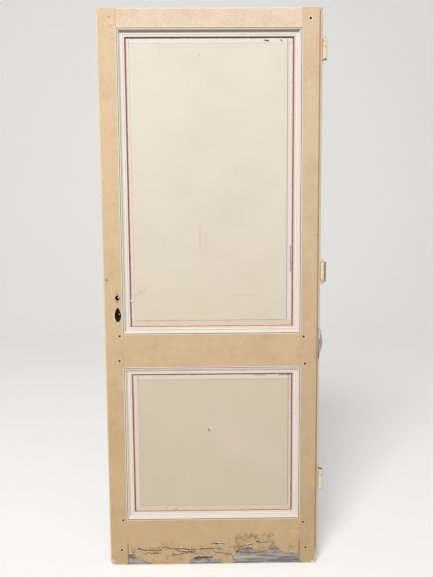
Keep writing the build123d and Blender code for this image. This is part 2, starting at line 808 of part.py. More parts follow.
def lock_forend():
    """Plate on the leaf's edge that the bolts come out through."""
    half = FOREND_WIDTH / 2
    latch_y = LATCH_HALF_THICK + WINDOW_GAP
    latch_z = LATCH_HALF_HEIGHT + WINDOW_GAP
    bolt_y = BOLT_HALF_THICK + WINDOW_GAP
    past = (-PAST, FOREND_THICK + PAST)
    body = block((0, FOREND_THICK), (-half, half), (FOREND_LOW, FOREND_HIGH))
    body -= block(past, (-latch_y, latch_y), (SPINDLE_Z - latch_z, SPINDLE_Z + latch_z))
    body -= block(past, (-bolt_y, bolt_y), (BOLT_LOW - WINDOW_GAP, BOLT_HIGH + WINDOW_GAP))
    hole = screw(WOOD_SCREW, FOREND_THICK, SCREW_FIT)
    for place in forend_screw_places():
        body -= pointing(hole, place, (1, 0, 0))
    return body


def forend_screws():
    """Two wood screws through the ends of the forend."""
    one = screw(WOOD_SCREW, FOREND_THICK)
    return [pointing(one, place, (1, 0, 0)) for place in forend_screw_places()]


def follower():
    """Hub with a square socket and two arms, turned to hold the latch drawn in."""
    half = SPINDLE_SQUARE / 2
    body = along_y(0, 0, JOURNAL_RADIUS, -CASE_HALF, CASE_HALF)
    body += block((-ARM_HALF, ARM_HALF), (ARM_FRONT, ARM_BACK), (-ARM_REACH, ARM_REACH))
    body -= block((-half, half), (-CASE_HALF - PAST, CASE_HALF + PAST), (-half, half))
    return Pos(LOCK_AXIS_X, 0, SPINDLE_Z) * Rot(0, HANDLE_TURN, 0) * body


def latch_bolt():
    """Bevelled latch with a forked tail and the two lugs that the arms push."""
    z = SPINDLE_Z
    half = LATCH_HALF_THICK
    head = block((0, LATCH_HEAD_LENGTH), (-half, half), (z - LATCH_HALF_HEIGHT, z + LATCH_HALF_HEIGHT))
    bevel = [
        (-PAST, LATCH_NOSE),
        (0, LATCH_NOSE),
        (LATCH_BEVEL, half),
        (LATCH_BEVEL, half + PAST),
        (-PAST, half + PAST),
    ]
    ramp = extrude(profile_face(polygon(bevel)), amount=4 * LATCH_HALF_HEIGHT, dir=(0, 0, 1))
    body = head - Pos(0, 0, z - 2 * LATCH_HALF_HEIGHT) * ramp
    thick = (FORK_FRONT, FORK_BACK)
    neck = (LATCH_HEAD_LENGTH - 1, FORK_START + 1)
    body += block(neck, thick, (z - LATCH_HALF_HEIGHT, z + LATCH_HALF_HEIGHT))
    fork = block((FORK_START, FORK_END), thick, (z - FORK_HALF_HEIGHT, z + FORK_HALF_HEIGHT))
    fork -= along_y(LOCK_AXIS_X, z, FORK_INNER, FORK_FRONT - 1, FORK_BACK + 1)
    fork -= block((LOCK_AXIS_X, FORK_END + 1), (FORK_FRONT - 1, FORK_BACK + 1), (z - FORK_INNER, z + FORK_INNER))
    body += fork
    for side in (-LUG_HEIGHT, LUG_HEIGHT):
        body += along_y(LOCK_AXIS_X + LUG_TURNED, z + side, LUG_RADIUS, ARM_FRONT, FORK_BACK)
    return body


def latch_spring():
    """Hairpin spring that leans on the cap's lug, just short of the latch head."""
    left = LATCH_HEAD_LENGTH + HAIRPIN_GAP
    right = CAP_LUG_X
    middle = (left + right) / 2
    outer = (right - left) / 2
    inner = outer - STRIP
    bend = HAIRPIN_BEND
    foot = HAIRPIN_FOOT
    edges = [
        Line((left, foot), (left, bend)),
        ThreePointArc((left, bend), (middle, bend + outer), (right, bend)),
        Line((right, bend), (right, foot)),
        Line((right, foot), (right - STRIP, foot)),
        Line((right - STRIP, foot), (right - STRIP, bend)),
        ThreePointArc((right - STRIP, bend), (middle, bend + inner), (left + STRIP, bend)),
        Line((left + STRIP, bend), (left + STRIP, foot)),
        Line((left + STRIP, foot), (left, foot)),
    ]
    return in_x_and_z(edges, HAIRPIN_Y - HAIRPIN_HALF, HAIRPIN_Y + HAIRPIN_HALF)


def dead_bolt():
    """Square bolt with its guide slot, the key's talon and two detent notches."""
    body = block((0, BOLT_HEAD_LENGTH), (-BOLT_HALF_THICK, BOLT_HALF_THICK), (BOLT_LOW, BOLT_HIGH))
    across = (-BOLT_TAIL_HALF, BOLT_TAIL_HALF)
    past = (-BOLT_TAIL_HALF - 1, BOLT_TAIL_HALF + 1)
    body += block((BOLT_HEAD_LENGTH - 1, BOLT_TAIL_END), across, (BOLT_TAIL_LOW, BOLT_TAIL_HIGH))
    slot = STUMP_RADIUS + STUMP_CLEARANCE
    for x in (STUMP_X, STUMP_X + BOLT_THROW):
        body -= along_y(x, STUMP_Z, slot, *past)
    body -= block((STUMP_X, STUMP_X + BOLT_THROW), past, (STUMP_Z - slot, STUMP_Z + slot))
    talon = (TALON_X - TALON_WIDTH / 2, TALON_X + TALON_WIDTH / 2)
    body -= block(talon, past, (BOLT_TAIL_LOW - 1, TALON_TOP))
    for x in (DETENT_X, DETENT_X + BOLT_THROW):
        notch = [
            (x - DETENT_HALF, BOLT_TAIL_HIGH + 0.01),
            (x, BOLT_TAIL_HIGH - DETENT_DEPTH),
            (x + DETENT_HALF, BOLT_TAIL_HIGH + 0.01),
        ]
        body -= in_x_and_z(polygon(notch), *past)
    return body


def bolt_spring():
    """Flat spring whose nose drops into the dead bolt's notches."""
    lower = [
        (CASE_END - CASE_WALL, BOLT_SPRING_LEVEL),
        (DETENT_X + 2 * DETENT_HALF, BOLT_SPRING_LEVEL),
        (DETENT_X, BOLT_SPRING_NOSE),
        (DETENT_X - DETENT_HALF, BOLT_SPRING_NOSE + DETENT_HALF),
    ]
    upper = [(x, z + STRIP) for x, z in reversed(lower)]
    return in_x_and_z(polygon(lower + upper), -BOLT_SPRING_HALF, BOLT_SPRING_HALF)


def lift_leaf(barrel, leaf_low):
    """Door half of a lift-off hinge: a leaf rolled into a barrel, open below for the
    frame's pin. leaf_low is the leaf's lower end."""
    low, high = barrel
    plate = block(
        (LEAF_OUTER_X - LEAF_THICK, LEAF_OUTER_X),
        (HINGE_Y, HINGE_Y + LEAF_REACH),
        (leaf_low, high),
    )
    if leaf_low < low:
        drop = low - leaf_low
        corner = Plane(origin=(0, HINGE_Y, leaf_low), x_dir=(0, 1, 0), z_dir=(1, 0, 0))
        room = LIFT_RADIUS + KNUCKLE_ROOM
        slant = [(-PAST, -PAST), (room + drop + PAST, -PAST), (room, drop), (-PAST, drop)]
        cut = profile_face(polygon(slant))
        plate -= extrude(corner * cut, amount=LEAF_WIDTH + 2 * PAST, dir=(1, 0, 0))
    body = plate + along_z(LIFT_RADIUS, low, high)
    body -= along_z(LIFT_BORE_RADIUS, low, high - FINIAL_STUB)
    body -= prism_z(FINIAL_STUB_RADIUS, low, high)
    for hole in leaf_screws(low, high, SCREW_FIT):
        body -= hole
    return body


def lift_finial(barrel, radius):
    """Ball tip with the stub that closes the top of a barrel."""
    top = barrel[1]
    stub = prism_z(FINIAL_STUB_RADIUS - PIN_TIGHT, top - FINIAL_STUB, top)
    return stub + ball_tip(radius, top, 1)


def knuckle_span(index):
    """Lowest and highest level of one knuckle of the middle hinge."""
    low, high = MIDDLE_BARREL
    pitch = (high - low) / KNUCKLES
    start = low + index * pitch + (KNUCKLE_GAP / 2 if index > 0 else 0)
    end = low + (index + 1) * pitch - (KNUCKLE_GAP / 2 if index < KNUCKLES - 1 else 0)
    return start, end


def knuckled(plate, own, others, bore):
    """Leaf of the middle hinge: the plate keeps its own knuckles, makes room for the
    other leaf's, and is bored for the pin."""
    low, high = MIDDLE_BARREL
    room = BUTT_RADIUS + KNUCKLE_ROOM
    for index in others:
        start, end = knuckle_span(index)
        start = low - PAST if index == 0 else start - KNUCKLE_GAP
        end = high + PAST if index == KNUCKLES - 1 else end + KNUCKLE_GAP
        plate -= block((HINGE_X - room, HINGE_X + room), (HINGE_Y - room, HINGE_Y + room), (start, end))
    for index in own:
        plate += along_z(BUTT_RADIUS, *knuckle_span(index))
    return plate - along_z(bore, low - PAST, high + PAST)


def middle_hinge_leaf():
    """Leaf of the middle hinge that is screwed to the stile."""
    x = (LEAF_OUTER_X - LEAF_THICK, LEAF_OUTER_X)
    plate = block(x, (HINGE_Y, HINGE_Y + LEAF_REACH), MIDDLE_BARREL)
    body = knuckled(plate, (0, 2, 4), (1, 3), BUTT_PIN_RADIUS + PIN_TIGHT)
    for hole in leaf_screws(*MIDDLE_BARREL, SCREW_FIT):
        body -= hole
    return body


def middle_hinge_frame_leaf():
    """Loose leaf of the middle hinge, with its empty screw holes, as it hangs open."""
    x = (HINGE_X - LEAF_THICK, HINGE_X)
    plate = block(x, (HINGE_Y, HINGE_Y + FRAME_LEAF_REACH), MIDDLE_BARREL)
    body = knuckled(plate, (1, 3), (0, 2, 4), BUTT_PIN_RADIUS + PIN_RUNNING)
    hole = screw(WOOD_SCREW, LEAF_THICK, SCREW_FIT)
    for _, y, z in hinge_screw_places(*MIDDLE_BARREL):
        body -= pointing(hole, (x[0], y, z), (1, 0, 0))
    axis = Pos(HINGE_X, HINGE_Y, 0)
    return axis * Rot(0, 0, -FRAME_LEAF_ANGLE) * Pos(-HINGE_X, -HINGE_Y, 0) * body


def middle_hinge_pin():
    """Pin of the middle hinge with its domed and collared top."""
    low, high = MIDDLE_BARREL
    top = high + COLLAR_THICK
    body = along_z(BUTT_PIN_RADIUS, low + BUTT_STUB + KNUCKLE_GAP, high)
    return body + prism_z(COLLAR_RADIUS, high, top) + ball_tip(PIN_TIP_RADIUS, top, 1)


def middle_hinge_finial():
    """Ball tip that closes the foot of the middle hinge."""
    low = MIDDLE_BARREL[0]
    foot = low - COLLAR_THICK
    body = prism_z(BUTT_PIN_RADIUS, low, low + BUTT_STUB)
    return body + prism_z(FOOT_COLLAR_RADIUS, foot, low) + ball_tip(FOOT_TIP_RADIUS, foot, -1)


def pieces():
    """Every node of the leaf, by name."""
    return {
        "lock_stile": lock_stile(),
        "hinge_stile": hinge_stile(),
        "top_rail": top_rail(),
        "lock_rail": lock_rail(),
        "bottom_rail": bottom_rail(),
        "upper_panel": panel(LOCK_RAIL_HIGH, TOP_RAIL_START, UPPER_PANEL_SHIFT),
        "lower_panel": panel(BOTTOM_RAIL_FACE, LOCK_RAIL_LOW, LOWER_PANEL_SHIFT),
        "joint_pegs": joint_pegs(),
        "tenon_wedges": all_wedges(),
        "lock_case": lock_case(),
        "lock_cap": lock_cap(),
        "cap_screws": cap_screws(),
        "lock_forend": lock_forend(),
        "forend_screws": forend_screws(),
        "follower": follower(),
        "latch_bolt": latch_bolt(),
        "latch_spring": latch_spring(),
        "dead_bolt": dead_bolt(),
        "bolt_spring": bolt_spring(),
        "top_hinge_leaf": lift_leaf(TOP_BARREL, TOP_LEAF_LOW),
        "top_hinge_finial": lift_finial(TOP_BARREL, TOP_TIP_RADIUS),
        "middle_hinge_leaf": middle_hinge_leaf(),
        "middle_hinge_frame_leaf": middle_hinge_frame_leaf(),
        "middle_hinge_pin": middle_hinge_pin(),
        "middle_hinge_finial": middle_hinge_finial(),
        "bottom_hinge_leaf": lift_leaf(BOTTOM_BARREL, BOTTOM_LEAF_LOW),
        "bottom_hinge_finial": lift_finial(BOTTOM_BARREL, BOTTOM_TIP_RADIUS),
        "hinge_screws": hinge_screws(),
    }


def main():
    """Build every piece, move it to the hinge axis and write it."""
    os.makedirs("parts", exist_ok=True)
    home = Pos(-HINGE_X, -HINGE_Y, -BOTTOM_BARREL[0])
    for name, shape in pieces().items():
        solids = shape if isinstance(shape, list) else [shape]
        moved = [home * solid for solid in solids]
        whole = moved[0] if len(moved) == 1 else Compound(children=moved)
        export_step(whole, f"parts/{name}.step")
    print(f"latch throw {LATCH_THROW:.3f} mm for {HANDLE_TURN:.0f} degrees")


main()
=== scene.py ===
"""Panelled door leaf as it looks: worn paint, bare wood, hinges and lock."""
import logging
from dataclasses import dataclass, field
from enum import Enum
from functools import reduce
from math import cos, pi, radians, sin
from typing import Iterable, Union

import bmesh
import bpy
import numpy as np
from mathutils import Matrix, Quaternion, Vector, noise


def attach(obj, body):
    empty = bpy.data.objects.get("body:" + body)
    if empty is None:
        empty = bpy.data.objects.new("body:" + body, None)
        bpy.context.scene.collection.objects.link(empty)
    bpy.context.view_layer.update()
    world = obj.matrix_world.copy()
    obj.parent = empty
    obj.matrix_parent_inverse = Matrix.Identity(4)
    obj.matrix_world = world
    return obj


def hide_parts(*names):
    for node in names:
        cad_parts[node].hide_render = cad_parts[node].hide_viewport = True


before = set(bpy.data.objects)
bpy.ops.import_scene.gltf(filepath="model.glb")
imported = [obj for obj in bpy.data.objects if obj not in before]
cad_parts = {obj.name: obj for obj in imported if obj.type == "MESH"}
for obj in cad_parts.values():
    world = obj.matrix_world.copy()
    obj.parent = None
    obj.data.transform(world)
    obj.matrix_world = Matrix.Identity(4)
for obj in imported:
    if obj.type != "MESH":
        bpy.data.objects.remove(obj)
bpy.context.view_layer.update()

LOG = logging.getLogger("door")

Colour = tuple[float, float, float]
Point = tuple[float, float]
Socket = bpy.types.NodeSocket
Value = Union[float, Socket]

# Where the shared frame's origin lies on the leaf, in millimetres
ORIGIN_X = 805.8
ORIGIN_Y = -24.5
ORIGIN_Z = 301.0
FRONT = -20.0
# Millimetres in a metre
METRE = 1000.0
# A stroke shorter than this, in metres, is a spot
POINT_LIKE = 1e-5
# What a mark of depth 1 takes off a paint's height
CUT = 6.0


def at(x: float, y: float, z: float) -> Vector:
    """Turn a place on the leaf into the shared frame.

    Args:
        x: Millimetres from the lock edge.
        y: Millimetres from the middle of the thickness, front negative.
        z: Millimetres from the foot.

    Returns:
        The same place in metres in the shared frame.
    """
    return Vector((x - ORIGIN_X, y - ORIGIN_Y, z - ORIGIN_Z)) / METRE


def srgb(red: int, green: int, blue: int) -> Colour:
    """Turn a display colour into the linear values that a shader takes.

    Args:
        red: Red from 0 to 255.
        green: Green from 0 to 255.
        blue: Blue from 0 to 255.

    Returns:
        Linear red, green and blue from 0 to 1.
    """

    def linear(value: int) -> float:
        """Turn one channel linear."""
        level = value / 255.0
        return level / 12.92 if level <= 0.04045 else ((level + 0.055) / 1.055) ** 2.4

    return linear(red), linear(green), linear(blue)


class Run(Enum):
    """Direction in which a member's grain and brush strokes run."""

    UPRIGHT = (1.0, 1.0, 0.05)
    ACROSS = (0.05, 1.0, 1.0)
    ALL_WAYS = (1.0, 1.0, 1.0)


class Wires:
    """Short calls that place nodes in one tree and link them."""

    def __init__(self, tree: bpy.types.NodeTree) -> None:
        """Keep the tree that the nodes go into."""
        self.tree = tree

    def node(self, kind: str, **settings: object) -> bpy.types.Node:
        """Place a node.

        Args:
            kind: The node's type name.
            settings: Properties to set on it.

        Returns:
            The new node.
        """
        made = self.tree.nodes.new(kind)
        for name, value in settings.items():
            setattr(made, name, value)
        return made

    def put(self, value: object, socket: Socket) -> None:
        """Link a socket to an input, or set the input's own value.

        Args:
            value: A socket or a plain value.
            socket: The input.
        """
        if isinstance(value, bpy.types.NodeSocket):
            self.tree.links.new(value, socket)
        else:
            socket.default_value = (*value, 1.0) if socket.type == "RGBA" else value

    def call(self, kind: str, sockets: dict, result: int | str = 0, **settings: object) -> Socket:
        """Place a node, fill some of its inputs and give one of its results.

        Args:
            kind: The node's type name.
            sockets: Values by the input's name or number.
            result: Name or number of the output.
            settings: Properties to set on the node.

        Returns:
            The output.
        """
        made = self.node(kind, **settings)
        for key, value in sockets.items():
            self.put(value, made.inputs[key])
        return made.outputs[result]

    def math(self, operation: str, a: Value, b: Value = 0.0) -> Socket:
        """Work out one operation on two values."""
        return self.call("ShaderNodeMath", {0: a, 1: b}, operation=operation)

    def plus(self, a: Value, b: Value) -> Socket:
        """Add two values."""
        return self.math("ADD", a, b)

    def minus(self, a: Value, b: Value) -> Socket:
        """Take the second value from the first."""
        return self.math("SUBTRACT", a, b)

    def times(self, *values: Value) -> Socket:
        """Multiply values in turn."""
        return reduce(lambda a, b: self.math("MULTIPLY", a, b), values)

    def vector(self, operation: str, a: object, b: object, result: str = "Vector") -> Socket:
        """Work out one operation on two vectors."""
        return self.call("ShaderNodeVectorMath", {0: a, 1: b}, result, operation=operation)

    def scaled(self, vector: Socket, factor: Value) -> Socket:
        """Stretch a vector by a factor."""
        sockets = {0: vector, "Scale": factor}
        return self.call("ShaderNodeVectorMath", sockets, operation="SCALE")

    def step(self, value: Value, low: Value, high: Value) -> Socket:
        """Rise smoothly from 0 at low to 1 at high."""
        sockets = {0: value, 1: low, 2: high}
        return self.call("ShaderNodeMapRange", sockets, interpolation_type="SMOOTHSTEP")

    def span(self, value: Value, low: Value, high: Value) -> Socket:
        """Stretch 0 to 1 evenly over low to high."""
        return self.call("ShaderNodeMapRange", {0: value, 3: low, 4: high})

    def within(self, away: Value, half: Value, soft: Value) -> Socket:
        """Give 1 nearer than half and 0 farther off, with a soft edge."""
        inner, outer = self.minus(half, soft), self.plus(half, soft)
        return self.minus(1.0, self.step(away, inner, outer))

    def mix(self, factor: Value, a: object, b: object) -> Socket:
        """Mix two colours."""
        return self.call("ShaderNodeMix", {0: factor, 6: a, 7: b}, 2, data_type="RGBA")

    def noise(self, vector: Socket, scale: Value, detail: float, rough: float = 0.6) -> Socket:
        """Give a noise texture's value."""
        sockets = {"Vector": vector, "Scale": scale, "Detail": detail, "Roughness": rough}
        return self.call("ShaderNodeTexNoise", sockets)

    def layers(self, body: object, *rows: tuple) -> Socket:
        """Lay colours over another, each where a value rises from one level to the next.

        Args:
            body: The colour before.
            rows: For each layer the value, its two levels, the full share and the colour.

        Returns:
            The colour after the last layer.
        """
        for value, low, high, share, colour in rows:
            body = self.mix(self.times(self.step(value, low, high), share), body, colour)
        return body

    def group(self, tree: bpy.types.NodeTree, **inputs: object) -> bpy.types.Node:
        """Place a node group and fill its inputs.

        Args:
            tree: The group.
            inputs: Values by the input's name.

        Returns:
            The group's node.
        """
        made = self.node("ShaderNodeGroup", node_tree=tree)
        for name, value in inputs.items():
            self.put(value, made.inputs[name])
        return made


class GroupMaker:
    """A shader node group under construction."""

    def __init__(self, name: str, inputs: dict[str, object], outputs: dict[str, str]) -> None:
        """Start the group.

        Args:
            name: The group's name.
            inputs: Starting value of each input by name: a number, a place or a colour.
            outputs: Kind of each output by name.
        """
        self.tree = bpy.data.node_groups.new(name, "ShaderNodeTree")
        self.wires = Wires(self.tree)
        for label, value in inputs.items():
            kind = self.kind(label, value)
            made = self.tree.interface.new_socket(name=label, in_out="INPUT", socket_type=kind)
            made.default_value = (*value, 1.0) if kind.endswith("Color") else value
        for label, kind in outputs.items():
            kind = "NodeSocket" + kind
            self.tree.interface.new_socket(name=label, in_out="OUTPUT", socket_type=kind)
        entry = self.wires.node("NodeGroupInput")
        self.inputs = {s.name: s for s in entry.outputs if s.name}
        self.leave = self.wires.node("NodeGroupOutput")

    @staticmethod
    def kind(label: str, value: object) -> str:
        """Name the socket type that an input's starting value calls for.

        Args:
            label: The input's name.
            value: Its starting value.

        Returns:
            The socket type's name.
        """
        if isinstance(value, float):
            return "NodeSocketFloat"
        return "NodeSocketColor" if label.endswith("Colour") else "NodeSocketVector"

    def give(self, name: str, value: Socket) -> None:
        """Link a result to one of the group's outputs."""
        self.wires.put(value, self.leave.inputs[name])


def brushed_group() -> bpy.types.NodeTree:
    """Make the group for brush strokes, fine speckle and broad blotches of paint.

    Returns:
        A group that turns a place into tone, speckle, blotch and height.
    """
    maker = GroupMaker(
        "brushed_paint",
        {
            "Vector": (0.0, 0.0, 0.0),
            "Stretch": (1.0, 1.0, 1.0),
            "Strokes": 420.0,
            "Blotches": 7.0,
        },
        {"Tone": "Float", "Speckle": "Float", "Blotch": "Float", "Height": "Float"},
    )
    wires, entry = maker.wires, maker.inputs
    along = wires.vector("MULTIPLY", entry["Vector"], entry["Stretch"])
    tone = wires.noise(along, entry["Strokes"], 3.0, 0.6)
    speckle = wires.noise(entry["Vector"], wires.times(entry["Strokes"], 1.6), 2.0, 0.6)
    blotch = wires.noise(entry["Vector"], entry["Blotches"], 5.0, 0.6)
    maker.give("Tone", tone)
    maker.give("Speckle", speckle)
    maker.give("Blotch", blotch)
    maker.give("Height", wires.plus(tone, wires.times(speckle, 0.4)))
    return maker.tree


def band_group() -> bpy.types.NodeTree:
    """Make the group for a soft band along a line.

    Returns:
        A group that gives 1 inside the band and 0 outside it.
    """
    maker = GroupMaker(
        "band", {"Distance": 0.0, "Centre": 0.0, "Half": 2.0, "Soft": 0.5}, {"Mask": "Float"}
    )
    wires, entry = maker.wires, maker.inputs
    away = wires.math("ABSOLUTE", wires.minus(entry["Distance"], entry["Centre"]))
    maker.give("Mask", wires.within(away, entry["Half"], entry["Soft"]))
    return maker.tree


def stroke_group() -> bpy.types.NodeTree:
    """Make the group for a ragged stroke from one place to another, or a ragged spot.

    Returns:
        A group that gives 1 on the stroke and 0 off it.
    """
    maker = GroupMaker(
        "ragged_stroke",
        {
            "Vector": (0.0, 0.0, 0.0),
            "Start": (0.0, 0.0, 0.0),
            "Course": (0.001, 0.0, 0.0),
            "Half": 0.002,
            "Soft": 0.0005,
            "Ragged": 0.001,
            "Grain": 400.0,
        },
        {"Mask": "Float"},
    )
    wires, entry = maker.wires, maker.inputs
    sockets = {"Vector": entry["Vector"], "Scale": entry["Grain"], "Detail": 3.0}
    jitter = wires.call("ShaderNodeTexNoise", sockets, "Color")
    centred = wires.vector("SUBTRACT", jitter, (0.5, 0.5, 0.5))
    centred = wires.vector("MULTIPLY", centred, (1.0, 0.0, 1.0))
    shift = wires.scaled(centred, wires.times(entry["Ragged"], 2.0))
    flat = wires.vector("MULTIPLY", entry["Vector"], (1.0, 0.0, 1.0))
    offset = wires.vector("SUBTRACT", wires.vector("ADD", flat, shift), entry["Start"])
    course = entry["Course"]
    ahead = wires.vector("DOT_PRODUCT", offset, course, "Value")
    whole = wires.vector("DOT_PRODUCT", course, course, "Value")
    share = wires.math("DIVIDE", ahead, whole)
    share = wires.math("MINIMUM", wires.math("MAXIMUM", share, 0.0), 1.0)
    rest = wires.vector("SUBTRACT", offset, wires.scaled(course, share))
    away = wires.call("ShaderNodeVectorMath", {0: rest}, "Value", operation="LENGTH")
    maker.give("Mask", wires.within(away, entry["Half"], entry["Soft"]))
    return maker.tree


def wood_group() -> bpy.types.NodeTree:
    """Make the group for bare wood with streaks and open grain along one direction.

    Returns:
        A group that turns a place into a colour and a height.
    """
    maker = GroupMaker(
        "bare_wood",
        {
            "Vector": (0.0, 0.0, 0.0),
            "Stretch": (0.06, 1.0, 1.0),
            "Fine": 900.0,
            "Pale Colour": srgb(190, 184, 176),
            "Mid Colour": srgb(138, 126, 116),
            "Dark Colour": srgb(72, 58, 52),
        },
        {"Color": "Color", "Height": "Float"},
    )
    wires, entry = maker.wires, maker.inputs
    along = wires.vector("MULTIPLY", entry["Vector"], entry["Stretch"])
    fine = wires.noise(along, entry["Fine"], 4.0, 0.65)
    broad = wires.noise(along, wires.times(entry["Fine"], 0.12), 4.0, 0.7)
    stain = wires.noise(entry["Vector"], 45.0, 3.0, 0.6)
    tone = wires.mix(wires.step(broad, 0.42, 0.6), entry["Mid Colour"], entry["Pale Colour"])
    gap = wires.minus(1.0, wires.step(fine, 0.3, 0.47))
    damp = wires.times(wires.step(stain, 0.5, 0.72), 0.6)
    tone = wires.mix(damp, tone, entry["Dark Colour"])
    maker.give("Color", wires.mix(wires.times(gap, 0.85), tone, entry["Dark Colour"]))
    maker.give("Height", wires.plus(fine, wires.times(broad, 0.7)))
    return maker.tree


def crazing_group() -> bpy.types.NodeTree:
    """Make the group for old paint that has crazed into small plates.

    Returns:
        A group that gives 1 on a crack and 0 on the plates.
    """
    maker = GroupMaker(
        "crazing",
        {"Vector": (0.0, 0.0, 0.0), "Stretch": (0.45, 1.0, 1.0), "Plates": 95.0, "Width": 0.17},
        {"Mask": "Float"},
    )
    wires, entry = maker.wires, maker.inputs
    bend = wires.call("ShaderNodeTexNoise", {"Vector": entry["Vector"], "Scale": 70.0}, "Color")
    shift = wires.vector("MULTIPLY", bend, (0.012, 0.012, 0.012))
    place = wires.vector("MULTIPLY", wires.vector("ADD", entry["Vector"], shift), entry["Stretch"])
    sockets = {"Vector": place, "Scale": entry["Plates"]}
    cells = wires.call("ShaderNodeTexVoronoi", sockets, "Distance", feature="DISTANCE_TO_EDGE")
    rise = wires.step(cells, 0.0, entry["Width"])
    maker.give("Mask", wires.minus(1.0, rise))
    return maker.tree


@dataclass
class Groups:
    """Shader node groups that several finishes share."""

    brushed: bpy.types.NodeTree = field(default_factory=brushed_group)
    band: bpy.types.NodeTree = field(default_factory=band_group)
    stroke: bpy.types.NodeTree = field(default_factory=stroke_group)
    wood: bpy.types.NodeTree = field(default_factory=wood_group)
    crazing: bpy.types.NodeTree = field(default_factory=crazing_group)


@dataclass(frozen=True)
class Mark:
    """A spot, crack, scratch or chip on a front face.

    Sizes are in millimetres: start and end as places across and up the leaf, half its
    width, and how ragged its edge is. depth is how far it goes into the paint.
    """

    start: Point
    end: Point
    half: float
    colour: Colour
    ragged: float = 0.8
    share: float = 1.0
    soft: float = 0.5
    depth: float = 0.3


class Finish:
    """A material under construction, with its shader and its coordinates."""

    def __init__(self, name: str, groups: Groups, marked_to: float = -13.0) -> None:
        """Start a material with one shader.

        Args:
            name: The material's name.
            groups: The shared node groups.
            marked_to: How far back marks show, in millimetres from the leaf's middle.
        """
        self.material = bpy.data.materials.new(name)
        self.material.use_nodes = True
        self.wires = Wires(self.material.node_tree)
        self.groups = groups
        self.shader = self.material.node_tree.nodes["Principled BSDF"]
        self.place = self.wires.node("ShaderNodeTexCoord").outputs["Object"]
        parts = self.wires.node("ShaderNodeSeparateXYZ")
        self.wires.put(self.place, parts.inputs[0])
        self.across, self.deep, self.up = (
            self.wires.plus(self.wires.times(source, METRE), origin)
            for source, origin in zip(parts.outputs, (ORIGIN_X, ORIGIN_Y, ORIGIN_Z))
        )
        self.front = self.wires.step(self.deep, marked_to, marked_to - 0.5)

    def feed(self, **values: object) -> None:
        """Feed the shader's inputs by name, with spaces written as _."""
        for name, value in values.items():
            self.wires.put(value, self.shader.inputs[name.replace("_", " ")])

    def band(self, distance: Value, centre: float, half: float, soft: float) -> Socket:
        """Give a soft band round a distance."""
        inputs = {"Distance": distance, "Centre": centre, "Half": half, "Soft": soft}
        return self.wires.group(self.groups.band, **inputs).outputs["Mask"]

    def stroke(self, mark: Mark) -> Socket:
        """Give the mask of a mark.

        Args:
            mark: The mark.

        Returns:
            1 on the mark and 0 off it.
        """
        start, end = (at(x, ORIGIN_Y, z) for x, z in (mark.start, mark.end))
        course = end - start
        if course.length < POINT_LIKE:
            course = Vector((POINT_LIKE, 0.0, 0.0))
        group = self.wires.group(
            self.groups.stroke,
            Vector=self.place,
            Start=tuple(start),
            Course=tuple(course),
            Half=mark.half / METRE,
            Soft=mark.soft / METRE,
            Ragged=mark.ragged / METRE,
        )
        return group.outputs["Mask"]

    def marked(
        self, colour: Socket, height: Socket, marks: Iterable[Mark]
    ) -> tuple[Socket, Socket]:
        """Lay marks over a colour and cut them into a height.

        Args:
            colour: The colour before.
            height: The height before.
            marks: The marks, laid in order.

        Returns:
            The colour and the height with the marks.
        """
        wires = self.wires
        for mark in marks:
            mask = wires.times(self.stroke(mark), self.front)
            colour = wires.mix(wires.times(mask, mark.share), colour, mark.colour)
            height = wires.minus(height, wires.times(mask, mark.depth * CUT))
        return colour, height

    def bump(self, height: Socket, distance: float) -> None:
        """Feed the shader's normal from a height whose 1 stands out by distance, in metres."""
        sockets = {"Strength": 1.0, "Distance": distance, "Height": height}
        self.feed(Normal=self.wires.call("ShaderNodeBump", sockets))


@dataclass(frozen=True)
class MouldStart:
    """Line on a member where the moulding starts: axis, place, direction and spans."""

    along: str
    start: float
    towards: float
    spans: tuple[Point, ...] = ((68.0, 728.0),)

    def mask(self, work: Finish) -> Socket:
        """Tell where an opening lies beside the line.

        Args:
            work: The material under construction.

        Returns:
            1 beside an opening and 0 elsewhere.
        """
        wires = work.wires
        source = work.up if self.along == "x" else work.across
        total: Value = 0.0
        for low, high in self.spans:
            half = (high - low) / 2.0
            total = wires.plus(total, work.band(source, low + half, half, 0.5))
        return total


@dataclass(frozen=True)
class Zone:
    """Box on the leaf, in millimetres, in which a member shows another colour."""

    across: Point
    up: Point
    deep: Point
    colour: Colour
    share: float = 1.0
    soft: float = 1.0

    def mask(self, work: Finish) -> Socket:
        """Tell what lies in the box.

        Args:
            work: The material under construction.

        Returns:
            The share inside the box and 0 outside it.
        """
        wires = work.wires
        total: Value = self.share
        sources = (work.across, work.up, work.deep)
        for source, (low, high) in zip(sources, (self.across, self.up, self.deep)):
            for edge, sign in ((low, 1.0), (high, -1.0)):
                away = wires.times(wires.minus(source, edge), sign)
                total = wires.times(total, wires.step(away, 0.0, self.soft))
        return total


